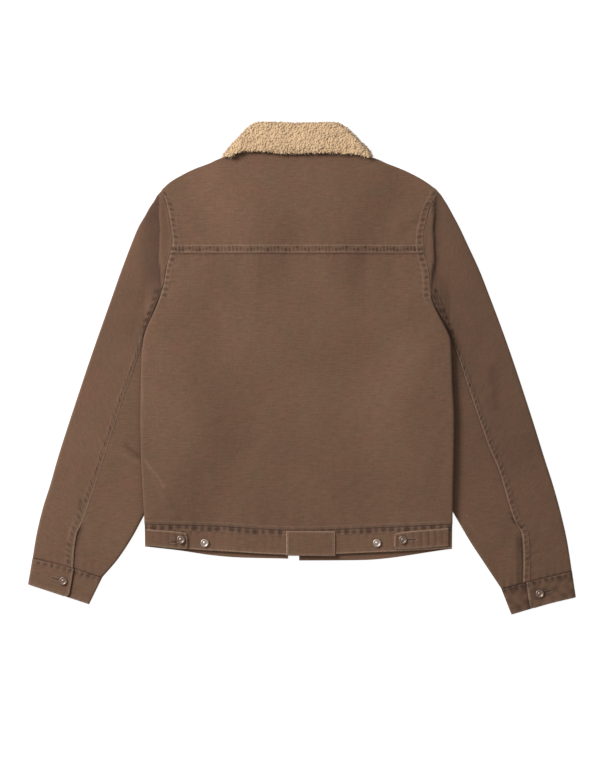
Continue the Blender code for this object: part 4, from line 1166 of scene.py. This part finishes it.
SLEEVE_CREASES = {
    # from x, y, to x, y, half width, height
    -1: (
        (-262.0, 560.0, -300.0, 430.0, 15.0, 0.9), (-250.0, 470.0, -285.0, 330.0, 13.0, -0.7),
        (-320.0, 420.0, -262.0, 340.0, 13.0, 0.7), (-345.0, 350.0, -270.0, 280.0, 12.0, -0.6),
        (-350.0, 300.0, -268.0, 246.0, 13.0, 0.7), (-300.0, 196.0, -258.0, 160.0, 6.0, -2.0),
        (-304.0, 184.0, -256.0, 148.0, 7.0, 1.4), (-372.0, 250.0, -290.0, 190.0, 11.0, -0.6),
        (-396.0, 190.0, -302.0, 140.0, 12.0, 0.6), (-404.0, 150.0, -320.0, 90.0, 11.0, -0.5),
        (-362.0, 90.0, -338.0, 20.0, 9.0, 0.9), (-374.0, 74.0, -356.0, 10.0, 6.0, -0.9),
        (-428.0, 92.0, -392.0, 30.0, 12.0, 0.5),
    ),
    1: (
        (268.0, 560.0, 306.0, 430.0, 15.0, 0.9), (250.0, 470.0, 290.0, 330.0, 13.0, -0.7),
        (334.0, 420.0, 300.0, 300.0, 15.0, -0.9), (352.0, 350.0, 286.0, 264.0, 12.0, 0.6),
        (360.0, 300.0, 280.0, 230.0, 13.0, 0.6), (382.0, 250.0, 300.0, 180.0, 11.0, -0.6),
        (404.0, 190.0, 310.0, 130.0, 12.0, 0.6), (358.0, 76.0, 390.0, 40.0, 4.0, -1.8),
        (364.0, 70.0, 356.0, -6.0, 9.0, -0.6), (346.0, 84.0, 334.0, 0.0, 12.0, 0.6),
        (404.0, 70.0, 392.0, 0.0, 10.0, 0.8), (440.0, 80.0, 410.0, 20.0, 12.0, 0.5),
    ),
}
# A dark line is painted shade in a fold, a pucker or a valley; a pale line is a painted highlight on a ridge.
SLEEVE_HIGHLIGHTS_AND_SHADE = {
    # from x, y, to x, y, half width, strength
    -1: ((-296.0, 191.0, -262.0, 163.0, 3.2, -0.5), (-298.0, 176.0, -262.0, 150.0, 3.0, 0.16),
         (-366.0, 100.0, -372.0, 76.0, 4.0, -0.5),
         (-229.0, 498.0, -221.0, 510.0, 1.6, -0.5), (-225.0, 486.0, -219.0, 497.0, 1.6, -0.45),
         (-231.0, 474.0, -224.0, 486.0, 1.5, -0.4), (-226.0, 512.0, -219.0, 520.0, 1.4, 0.3)),
    1: ((362.0, 68.0, 384.0, 44.0, 2.0, -0.7), (285.0, 73.0, 307.0, 31.0, 0.9, 0.5),
        (330.0, 330.0, 338.0, 244.0, 9.0, -0.25)),
}
for side, word in ((-1, "left"), (1, "right")):
    for half, cut in (("upper", (0.27, 0.72)), ("under", (0.24, 0.56))):
        name = f"sleeve_{half}_{word}"
        finish_cloth(make_sleeve_half(name, side, half == "upper"), name, canvas_cloth)

# %% [markdown]
# ## Cuffs
# A cuff is one doubled strip wound round the wrist and lapped, so its free end lies on top and a button
# holds it. Its section is followed from that free end, round the outer fold, along the floor and round the
# inner fold.

# %% Cuffs
def spread_along(points, share):
    """Places at shares of the length of a broken line."""
    points = np.array(points)
    travelled = travelled_along(points)
    travelled /= travelled[-1]
    return np.column_stack([curve(travelled, values, share) for values in points.T])


CUFF_SHADE = {"cuff_left": 0.05, "cuff_right": 0.34}  # painted shade, mottled, on the cloth between the cuff's puckers, stronger on the right, away from the lamp
CUFF_CORNER = 8.0  # the lapped end's lower corner is rounded
LAPPED, CUFF_BEND, ON_FLOOR, HIDDEN = 60, 15, 10, 60  # samples of the lap, a bend, the floor, the hidden end
CUFF_STEPS = 44  # from the seam to the edge


def make_cuff(name, seam, edge):
    low = BAND_WALL / 2.0
    high = low + CUFF_STACK - BAND_WALL
    top = high + BAND_WALL + SEAM
    half = BAND_WALL / 2.0
    width = np.mean([np.hypot(*(np.array(points[-1]) - np.array(points[0]))) for points in (seam, edge)])
    down = np.mean(edge, axis=0) - np.mean(seam, axis=0)
    deep = np.linalg.norm(down)
    down /= deep
    turn = np.linspace(np.pi / 2.0, 3.0 * np.pi / 2.0, CUFF_BEND)
    outer_bend, inner_bend = (top - low) / 2.0, (high - low) / 2.0
    outer, inner, reaches, laps = [], [], [], []
    for share in np.linspace(0.0, 1.0, CUFF_STEPS):
        to_corner = max(CUFF_CORNER - (1.0 - share) * deep, 0.0)
        rounded_off = CUFF_CORNER - np.sqrt(CUFF_CORNER**2 - to_corner**2)
        lap = np.interp(share, (0.0, 1.0), CUFF_LAPS[name]) * width
        for grid, offset in ((outer, half), (inner, -half)):
            start = np.linspace(lap - rounded_off, outer_bend + half, LAPPED + 1)[:-1]
            floor = np.linspace(outer_bend + half, width - inner_bend - half, ON_FLOOR + 2)[1:-1]
            end = np.linspace(width - inner_bend - half, CUFF_UNDER * width, HIDDEN + 1)[1:]
            reach = np.concatenate([start, outer_bend + half + (outer_bend + offset) * np.cos(turn), floor,
                                    width - inner_bend - half - (inner_bend + offset) * np.cos(turn), end])
            height = np.concatenate([np.full(LAPPED, top + offset),
                                     (low + top) / 2.0 + (outer_bend + offset) * np.sin(turn),
                                     np.full(ON_FLOOR, low - offset),
                                     (low + high) / 2.0 + (inner_bend + offset) * np.sin(turn[::-1]),
                                     np.full(HIDDEN, high + offset)])
            at = [spread_along(points, reach / width) for points in (seam, edge)]
            plan = at[0] * (1.0 - share) + at[1] * share + down * SEAM * (1.0 - share)
            grid.append(np.column_stack([plan, height]))
        reaches.append(reach)
        laps.append([lap])
    outer, inner, reach, laps = (np.array(rows) for rows in (outer, inner, reaches, laps))
    down_cuff = np.linspace(0.0, deep, CUFF_STEPS)[:, None] + np.zeros_like(reach)
    upward = smooth((outer[..., 2] - low) / half)
    index = np.arange(reach.shape[1])[None, :]
    to_lap = np.where(index < LAPPED + 8, reach[:, :1] - reach, 1.0e3)  # as far as halfway round the outer bend
    under_lap = np.where(index > LAPPED + 20, reach - laps, 1.0e3)  # from the floor on
    relief = Relief(reach.shape)
    relief.seam(down_cuff, reach, 11.0, 0.2, 10.6, 0.9, 0.3, slant=0.05, painted_shade=1.25, rims=(0.1, 0.0))
    relief.ditch(down_cuff, 0.5, 0.9, painted_shade=0.75)
    relief.seam(deep - down_cuff, reach, 7.0, 0.2, 13.0, 0.3, 1.2, painted_shade=0.2, rims=(0.8, 0.1))
    relief.seam(to_lap, down_cuff, 6.5, 0.25, 8.0, 0.35, 0.6, painted_shade=0.3, rims=(0.85, 0.1))
    relief.pale += 0.6 * bell(to_lap, 1.8, 1.4)
    # Mottled painted shade over the cuff.
    shade_mottle = np.sin(reach / 8.3 + 1.9 * np.sin(down_cuff / 5.1)) * np.sin(reach / 5.2 + 1.0)
    relief.dark += CUFF_SHADE[name] * (1.0 + shade_mottle)
    relief.buttonhole(np.where(index < LAPPED, outer[..., 0], 1.0e4), outer[..., 1], *BUTTONHOLES[name])
    # Painted shadow cast by the lapped end on the cloth beside it, which also dips a little there.
    relief.dark += 0.75 * dying(under_lap, 2.6) * (under_lap < 40.0)
    relief.height -= 0.5 * dying(under_lap, 4.0) * (under_lap < 40.0)
    rounded = np.minimum(smooth((deep - down_cuff) / 1.6), smooth(to_lap / 1.4))
    outer[..., 2] += (relief.height - 0.9 * (1.0 - rounded)) * upward
    relief.keep_wear_and_shade(upward)
    top_part = slice(0, LAPPED)
    sew_at(outer[:, top_part], to_lap[:, top_part], (2.2,), along_rows=True)
    for part in (top_part, slice(reach.shape[1] - HIDDEN, reach.shape[1])):
        seen = (under_lap[0, part] > 1.0) | (index[0, part] < LAPPED)
        sew_at(outer[:, part][:, seen], down_cuff[:, part][:, seen], (ROW_IN, deep - 3.0))
    return skin(name, outer, inner, relief, coarse=3)


for name, (seam, edge) in CUFFS.items():
    finish_cloth(make_cuff(name, seam, edge), name, canvas_trim)

# %% [markdown]
# ## Collar
# The collar folds over a roll: its fleece side shows all over the back neck, and its two long points lie
# hidden under the fronts. Two layers follow the same fold, the fleece's backing and the canvas under it.
# The pile itself is grown on the backing afterwards.

# %% Collar layers
COLLAR_TOP = 738.0
SIDEWAYS = 1.5  # over so many rows at each end the fold turns to face straight sideways
NEIGHBOUR = 0.6  # the fold's direction is taken between places so many rows to either side


def top_of_fall(y):
    """Height of the fleece's outer face: low at the back roll, higher where it lies on the body."""
    return ROLL_HEIGHT + (NECK_HEIGHT - ROLL_HEIGHT) * smooth((COLLAR_TOP - y) / ROLL_DEPTH)


def collar_place(k):
    table = np.array(COLLAR_ROWS)
    at = np.arange(len(table))
    return np.array([curve(at, c, k) for c in table.T])


def make_layer(name, near, far, fall_steps, fold_steps, low_steps, steps, lumps):
    """A layer between two depths under the pile's tips: its fall, the roll, and its hidden leaves."""
    last = len(COLLAR_ROWS) - 1.0
    grids = []
    for depth in (near, far):
        grid = []
        for k in np.linspace(0.0, last, steps):
            roll_x, roll_y, fall_x, fall_y, low_x, low_y = collar_place(k)
            before, after = collar_place(max(k - NEIGHBOUR, 0.0)), collar_place(min(k + NEIGHBOUR, last))
            inward = np.array([after[1] - before[1], before[0] - after[0]])
            inward /= np.linalg.norm(inward)
            end = smooth(1.0 - min(k, last - k) / SIDEWAYS)
            inward = inward * (1.0 - end) + np.array([1.0 if k < last / 2.0 else -1.0, 0.0]) * end
            inward /= np.linalg.norm(inward)
            roll = np.array([roll_x, roll_y])
            tall = top_of_fall(roll_y) / 2.0
            turn = np.linspace(np.pi / 2.0, -np.pi / 2.0, fold_steps)
            shelf = roll + inward * FOLD_REACH
            fold = roll + np.outer(FOLD_REACH - (FOLD_REACH - depth) * np.cos(turn), inward)
            t = np.linspace(1.0, 0.0, fall_steps + 1)[:-1, None]
            u = np.linspace(0.0, 1.0, low_steps + 1)[1:, None]
            fall = shelf + (np.array([fall_x, fall_y]) - shelf) * t
            low = shelf + (np.array([low_x, low_y]) - shelf) * u
            fall_z = top_of_fall(fall[:, 1]) - top_of_fall(shelf[1]) + top_of_fall(roll_y) - depth
            height = np.concatenate([fall_z, tall + (tall - depth) * np.sin(turn), np.full(low_steps, depth)])
            grid.append(np.column_stack([np.concatenate([fall, fold, low]), height]))
        grids.append(np.array(grid))
    if lumps:
        x, y = grids[0][..., 0], grids[0][..., 1]
        wave = np.sin(x / 3.1 + 2.0 * np.sin(y / 5.3)) * np.sin(y / 3.6 + 1.7 * np.sin(x / 6.1))
        grids[0][..., 2] += lumps * wave * smooth((grids[0][..., 2] - 8.0) / 4.0)
    return skin(name, grids[0], grids[1], coarse=3)


CORE_DEPTH = 1.6  # the backing lies this deep under the tips of the pile
collar_back = make_layer("collar_fleece", CORE_DEPTH, FLEECE, 34, 18, 22, 190, 0.7)
finish_cloth(collar_back, "collar_fleece", backing)
collar_canvas = make_layer("collar_canvas", FLEECE + 0.5, FLEECE + 0.5 + UNDER_COLLAR, 10, 12, 14, 90, 0.0)
finish_cloth(collar_canvas, "collar_canvas", canvas_cloth)

# %% [markdown]
# ## Repeats grown by Geometry Nodes
# Curls of pile and stitches are the same small shape hundreds of times over. A Geometry Nodes tree scatters
# or strings them from a few named inputs and a fixed seed, realizes them, and the result is kept as one
# plain mesh.

# %% Helpers for node trees
def new_tree(name, inputs):
    tree = bpy.data.node_groups.new(name, "GeometryNodeTree")
    tree.interface.new_socket("Geometry", in_out="INPUT", socket_type="NodeSocketGeometry")
    tree.interface.new_socket("Geometry", in_out="OUTPUT", socket_type="NodeSocketGeometry")
    for word, kind in inputs:
        tree.interface.new_socket(word, in_out="INPUT", socket_type=f"NodeSocket{kind}")
    return tree, tree.nodes.new("NodeGroupInput").outputs, tree.nodes.new("NodeGroupOutput")


def end_tree(tree, output, instances, material):
    real = add(tree, "GeometryNodeRealizeInstances", {0: instances})
    painted = add(tree, "GeometryNodeSetMaterial", {0: real.outputs[0]})
    painted.inputs["Material"].default_value = material
    tree.links.new(painted.outputs[0], output.inputs[0])


def grown(name, base, tree, values):
    """The plain mesh that a tree grows on a base object."""
    modifier = base.modifiers.new("grow", "NODES")
    modifier.node_group = tree
    for item in tree.interface.items_tree:
        if item.in_out == "INPUT" and item.name in values:
            modifier[item.identifier] = values[item.name]
    bpy.context.view_layer.update()
    evaluated = base.evaluated_get(bpy.context.evaluated_depsgraph_get())
    mesh = bpy.data.meshes.new_from_object(evaluated)
    mesh.name = name
    base.modifiers.remove(modifier)
    piece = bpy.data.objects.new(name, mesh)
    bpy.context.collection.objects.link(piece)
    return piece


def helper_object(name, points, faces, edges=()):
    mesh = bpy.data.meshes.new(name)
    mesh.from_pydata([tuple(p) for p in points], list(edges), list(faces))
    made = bpy.data.objects.new(name, mesh)
    bpy.context.collection.objects.link(made)
    return made


def print_triangles(piece):
    print(f"{piece.name}: {sum(len(face.vertices) - 2 for face in piece.data.polygons)} triangles")


def remove_helper(helper):
    mesh = helper.data
    bpy.data.objects.remove(helper)
    bpy.data.meshes.remove(mesh)


def tube_faces(first, rings, sides):
    """The faces between rings of points, counted from the first point."""
    ring = [(s, (s + 1) % sides) for s in range(sides)]
    starts = range(first, first + (rings - 1) * sides, sides)
    return [(a + s, a + t, a + sides + t, a + sides + s) for a in starts for s, t in ring]


def cap_faces(first, sides, tip):
    return [(first + s, first + (s + 1) % sides, tip) for s in range(sides)]


# %% One curl of pile
NUB_HEIGHT, NUB_RADIUS = 2.1, 2.6
TIP_LENGTH, TIP_RADIUS = 4.8, 0.45
EDGE_COLUMNS = 3  # steps of the collar's grid beside its cut edge that carry loose tips


def make_curl():
    """A short lock wound over itself into a nub: rings round a leaning axis, closed to a blunt tip."""
    rings, sides = 5, 8
    points = []
    for i in range(rings):
        t = i / (rings - 1)
        angle = 2.6 * t
        high = NUB_HEIGHT * (t - 0.12 * t * t) - 0.6
        centre = np.array([0.9 * np.sin(angle), 0.7 * (1.0 - np.cos(angle)), high])
        thick = NUB_RADIUS * (0.72 + 0.9 * t - 1.15 * t * t)
        for s in range(sides):
            a = 2.0 * np.pi * s / sides + 0.9 * t
            ridge = 1.0 + 0.16 * (s % 2)
            points.append((centre + thick * ridge * np.array([np.cos(a), np.sin(a), 0.0])) * MM)
    points.append((centre + np.array([0.15, 0.1, 0.35])) * MM)
    faces = tube_faces(0, rings, sides) + cap_faces((rings - 1) * sides, sides, rings * sides)
    return helper_object("curl", points, faces + [tuple(reversed(range(sides)))])


def make_tip():
    """A loose lock of fibres: a thin bent spike of three sides."""
    points = [(TIP_RADIUS * np.cos(a), TIP_RADIUS * np.sin(a), 0.8) for a in np.arange(3) * 2.0 * np.pi / 3.0]
    points += [(0.5 + 0.7 * px, 0.7 * py, 0.6 * TIP_LENGTH) for px, py, _ in points] + [(1.3, 0.0, TIP_LENGTH)]
    return helper_object("tip", np.array(points) * MM, tube_faces(0, 2, 3) + cap_faces(3, 3, 6))


def pile_tree(mask_name):
    tree, given, output = new_tree("pile", (("Spacing", "Float"), ("Density", "Float"), ("Curl", "Object"),
                                            ("Smallest", "Float"), ("Largest", "Float"), ("Lean", "Float"),
                                            ("Seed", "Int")))
    mask = add(tree, "GeometryNodeInputNamedAttribute", {"Name": mask_name}, data_type="FLOAT").outputs[0]
    scatter = add(tree, "GeometryNodeDistributePointsOnFaces",
                  {"Mesh": given["Geometry"], "Distance Min": given["Spacing"], "Density Max": given["Density"],
                   "Density Factor": mask, "Seed": given["Seed"]}, distribute_method="POISSON")
    turn = add(tree, "FunctionNodeRandomValue", {"Seed": given["Seed"]}, data_type="FLOAT_VECTOR")
    turn.inputs[0].default_value = (-1.0, -1.0, -3.1416)
    turn.inputs[1].default_value = (1.0, 1.0, 3.1416)
    lean = add(tree, "ShaderNodeVectorMath", {0: turn.outputs[0]}, operation="MULTIPLY")
    shares = add(tree, "ShaderNodeCombineXYZ", {0: given["Lean"], 1: given["Lean"], 2: 1.0})
    tree.links.new(shares.outputs[0], lean.inputs[1])
    rotation = add(tree, "FunctionNodeRotateRotation", {0: scatter.outputs["Rotation"]}, rotation_space="LOCAL")
    euler = add(tree, "FunctionNodeEulerToRotation", {0: lean.outputs[0]})
    tree.links.new(euler.outputs[0], rotation.inputs[1])
    size = add(tree, "FunctionNodeRandomValue", {"Seed": given["Seed"]}, data_type="FLOAT")
    tree.links.new(given["Smallest"], size.inputs[2])
    tree.links.new(given["Largest"], size.inputs[3])
    shape = add(tree, "GeometryNodeObjectInfo", {"Object": given["Curl"]})
    strung = add(tree, "GeometryNodeInstanceOnPoints",
                 {"Points": scatter.outputs[0], "Instance": shape.outputs["Geometry"],
                  "Rotation": rotation.outputs[0], "Scale": size.outputs[1]})
    end_tree(tree, output, strung.outputs[0], pile)
    return tree


def set_pile_masks(piece):
    """Curls grow where the fleece faces up or out, and loose tips along its folded and cut edges."""
    mesh = piece.data
    count = len(mesh.vertices)
    places = np.zeros(count * 3)
    normals = np.zeros(count * 3)
    mesh.vertices.foreach_get("co", places)
    mesh.vertex_normals.foreach_get("vector", normals)
    z, up = places.reshape(-1, 3)[:, 2] / MM, normals.reshape(-1, 3)[:, 2]
    rows, columns = faces_of["collar_fleece"].shape[:2]
    share = np.clip((up + 0.6) / 0.5, 0.0, 1.0) * smooth((z - 3.0) / 5.0)
    share[rows * columns:] = 0.0
    cut_edge = np.zeros(count)
    cut_edge[:rows * columns] = np.tile(np.arange(columns) < EDGE_COLUMNS, rows)
    fringe = share * np.maximum(smooth((0.85 - up) / 0.25), cut_edge)
    for word, values in (("curls", share), ("tips", fringe)):
        mesh.attributes.new(word, "FLOAT", "POINT").data.foreach_set("value", values)


set_pile_masks(collar_back)
curl = make_curl()
curls = grown("collar_curls", collar_back, pile_tree("curls"),
              {"Spacing": 3.1 * MM, "Density": 300000.0, "Curl": curl, "Smallest": 0.75, "Largest": 1.2,
               "Lean": 0.5, "Seed": 11})
remove_helper(curl)
tip = make_tip()
fuzz = grown("collar_fuzz", collar_back, pile_tree("tips"),
             {"Spacing": 1.2 * MM, "Density": 900000.0, "Curl": tip, "Smallest": 0.6, "Largest": 1.2,
              "Lean": 0.9, "Seed": 5})
remove_helper(tip)
for grown_pile in (curls, fuzz):
    grown_pile.data.shade_smooth()
    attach(grown_pile, "root")
    print_triangles(grown_pile)

# %% [markdown]
# ## Tabs, patch and buttons
# The side tabs and the patch are flat pieces of cloth sewn onto the hem band. The buttons are turned metal:
# a rolled ring, a dished face and a low boss in its middle, all one lathe profile.

# %% Tabs and patch
TAB_BOX = 217.0  # a row of stitches closes off the right tab's sewn end
PATCH_STRIP = 6.5  # the patch's folded left end
PLATE_STEPS = (50, 110)  # samples across and along


def make_plate(name, thick, run_on, lower, upper):
    x0, x1 = lower[0][0], lower[-1][0]
    x = np.linspace(x0, x1, PLATE_STEPS[1])
    shares = np.linspace(0.0, 1.0, PLATE_STEPS[0])[:, None]
    y = line(lower, x) * (1.0 - shares) + line(upper, x) * shares
    x = np.broadcast_to(x, y.shape)
    base = lift(x, y) + HEM_STACK + PLATE_AIR
    to_long_edge = np.minimum(y - line(lower, x), line(upper, x) - y)
    to_edge = np.minimum.reduce([to_long_edge, x - x0 + run_on[0], x1 - x + run_on[1]])
    relief = Relief(x.shape)
    relief.seam(to_edge, x + y, 5.6, 0.25, 7.0, 0.2, 0.7, painted_shade=0.2, rims=(0.9, 0.0))
    inside = smooth((to_edge - 2.0) / 3.0)
    puckered = 0.12 if name == "hem_patch" else 1.0
    wave = ripple(x + 0.05 * y, 12.5, 0.7)
    relief.height += 0.35 * puckered * wave * smooth(to_edge / 2.0)
    # Painted shade in the troughs of the ripples.
    relief.dark += 0.5 * puckered * smooth((-wave - 0.1) / 0.9) * inside
    if name in BUTTONHOLES:
        relief.buttonhole(x, y, *BUTTONHOLES[name])
    else:
        strip = smooth((x0 + PATCH_STRIP - x) / 1.5)
        relief.height += 0.4 * strip
        relief.pale += 0.25 * strip
    high = base + thick + relief.height - 1.0 * (1.0 - smooth(to_edge / 1.3))
    top = np.stack([x, y, high], axis=2)
    middle = PLATE_STEPS[0] // 2
    for part in (slice(0, middle), slice(middle, None)):
        sew_at(top[part], to_long_edge[part], (1.6 if name == "hem_patch" else 2.0,))
    if name == "tab_right":
        boxed = np.abs(x[0] - TAB_BOX).argmin()
        sew(top[4:-4, boxed])
    return skin(name, top, np.stack([x, y, base], axis=2), relief, coarse=3)


for name, (thick, cut, run_on, lower, upper) in PLATES.items():
    plate = make_plate(name, thick, run_on, lower, upper)
    finish_cloth(plate, name, canvas_trim)

# %% Buttons
BUTTON_RADIUS, BUTTON_HEIGHT, BUTTON_SEAT, BUTTON_SIDES = 7.0, 3.4, 0.4, 40
BUTTONS = {
    "button_tab_left": (-198.0, 28.4), "button_hem_left": (-157.9, 22.1), "button_tab_right": (178.8, 27.9),
    "button_hem_right": (135.2, 22.1), "button_cuff_left": (-398.6, -42.5), "button_cuff_right": (411.7, -63.9),
}
BUTTON_PROFILE = (
    # share of the radius, share of the height
    (0.0, 0.0), (0.42, 0.0), (0.46, 0.10), (0.47, 0.28), (0.90, 0.38), (0.97, 0.48), (1.0, 0.62), (0.98, 0.80),
    (0.92, 0.93), (0.84, 0.99), (0.76, 0.97), (0.70, 0.86), (0.62, 0.72), (0.52, 0.66), (0.42, 0.66),
    (0.36, 0.72),
    (0.30, 0.84), (0.20, 0.90), (0.10, 0.91), (0.0, 0.90),
)


def make_button(name, x, y, z):
    sides = BUTTON_SIDES
    profile = np.array(BUTTON_PROFILE) * (BUTTON_RADIUS, BUTTON_HEIGHT)
    angle = np.linspace(0.0, 2.0 * np.pi, sides, endpoint=False)
    points = [(0.0, 0.0, profile[0][1])]
    for radius, high in profile[1:-1]:
        points += [(radius * np.cos(a), radius * np.sin(a), high) for a in angle]
    points.append((0.0, 0.0, profile[-1][1]))
    rings, last = len(profile) - 2, len(points) - 1
    faces = [(0, 1 + (s + 1) % sides, 1 + s) for s in range(sides)]
    faces += tube_faces(1, rings, sides) + cap_faces(1 + (rings - 1) * sides, sides, last)
    made = helper_object(f"{name}_turned", place(np.array(points) + np.array((x, y, z))), faces)
    turn_outwards(made.data)
    made.data.shade_smooth()
    made.data.materials.append(bright_metal if "hem" in name else dull_metal)
    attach(made, "root")
    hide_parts(name)


for name, (x, y) in BUTTONS.items():
    if "cuff" in name:
        z = BAND_WALL + CUFF_STACK + SEAM
    else:
        z = float(lift(np.array(x), np.array(y))) + HEM_STACK + (TAB + PLATE_AIR if "tab" in name else 0.0)
    make_button(name, x, y, z + BUTTON_SEAT)
print("buttons", len(BUTTONS))

# %% [markdown]
# ## Topstitching
# Each row kept while the pieces were made becomes a chain of points. The tree resamples it at an even
# pitch, a little longer than a stitch, and lays one small lens of thread at each place. Bar tacks are the
# same stitches turned across a very short row and set close together.

# %% Sew the rows
STITCH_LENGTH, STITCH_WIDTH, THREAD_LIFT = 2.3, 0.62, 0.12


def make_stitch():
    """A stitch as a lens of thread: two tips and two rings of four points."""
    points = [(-0.5 * STITCH_LENGTH * MM, 0.0, 0.0)]
    for share in (-0.3, 0.3):
        points += [(share * STITCH_LENGTH * MM, 0.5 * STITCH_WIDTH * MM * np.cos(a),
                    0.4 * STITCH_WIDTH * MM * np.sin(a)) for a in np.arange(4) * np.pi / 2.0]
    points.append((0.5 * STITCH_LENGTH * MM, 0.0, 0.0))
    faces = [(0, 1 + (s + 1) % 4, 1 + s) for s in range(4)]
    return helper_object("stitch", points, faces + tube_faces(1, 2, 4) + cap_faces(5, 4, 9))


def stitch_tree():
    tree, given, output = new_tree("stitches", (("Pitch", "Float"), ("Stitch", "Object"), ("Turn", "Float"),
                                                ("Size", "Float")))
    rows = add(tree, "GeometryNodeMeshToCurve", {0: given["Geometry"]})
    even = add(tree, "GeometryNodeResampleCurve", {"Curve": rows.outputs[0], "Length": given["Pitch"]},
               mode="LENGTH")
    tangent = add(tree, "GeometryNodeInputTangent").outputs[0]
    aligned = add(tree, "FunctionNodeAlignRotationToVector", {"Vector": tangent}, axis="X")
    turned = add(tree, "FunctionNodeRotateRotation", {0: aligned.outputs[0]}, rotation_space="LOCAL")
    angle = add(tree, "ShaderNodeCombineXYZ", {2: given["Turn"]})
    euler = add(tree, "FunctionNodeEulerToRotation", {0: angle.outputs[0]})
    tree.links.new(euler.outputs[0], turned.inputs[1])
    shape = add(tree, "GeometryNodeObjectInfo", {"Object": given["Stitch"]})
    strung = add(tree, "GeometryNodeInstanceOnPoints",
                 {"Points": even.outputs[0], "Instance": shape.outputs["Geometry"], "Rotation": turned.outputs[0],
                  "Scale": given["Size"]})
    end_tree(tree, output, strung.outputs[0], topstitch)
    return tree


def rows_mesh(name, rows):
    points, edges = [], []
    for row in rows:
        first = len(points)
        points += list(place(row + np.array((0.0, 0.0, THREAD_LIFT))))
        edges += [(first + i, first + i + 1) for i in range(len(row) - 1)]
    return helper_object(name, points, (), edges)


def sew_all(name, kind, values):
    rows, stitch = rows_mesh(f"{name}_rows", stitch_rows[kind]), make_stitch()
    sewn = grown(name, rows, stitch_tree(), {"Stitch": stitch, **values})
    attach(sewn, "root")
    remove_helper(rows)
    remove_helper(stitch)
    print_triangles(sewn)


TACK_LENGTH, TACK_LIFT = 11.0, 0.1


def tack(x, y, way, piece):
    """A bar tack on a piece's outer face, from a place towards the left, -1, or the right, 1."""
    grid = faces_of[piece].reshape(-1, 3)
    row = []
    for at in x + way * TACK_LENGTH * np.linspace(0.0, 1.0, 6):
        near = grid[np.argmin(np.hypot(grid[:, 0] - at, grid[:, 1] - y))]
        row.append([at, y, near[2] + TACK_LIFT])
    sew(row, "tack")


for side, x_edge in ((-1, -211.0), (1, 212.5)):
    for above in (1.6, SEAM_BAND - 1.0):
        tack(x_edge, YOKE_Y + above, -side, "back_yoke")
for side, piece in ((-1, "tab_left"), (1, "tab_right")):
    button_x, button_y = BUTTONS[f"button_{piece}"]
    for offset in (-1.5, 1.5):
        tack(button_x + side * 8.5, button_y + offset, side, piece)
sew_all("topstitching", "top", {"Pitch": 3.1 * MM, "Turn": 0.0, "Size": 1.0})
sew_all("bar_tacks", "tack", {"Pitch": 0.75 * MM, "Turn": 1.45, "Size": 0.9})
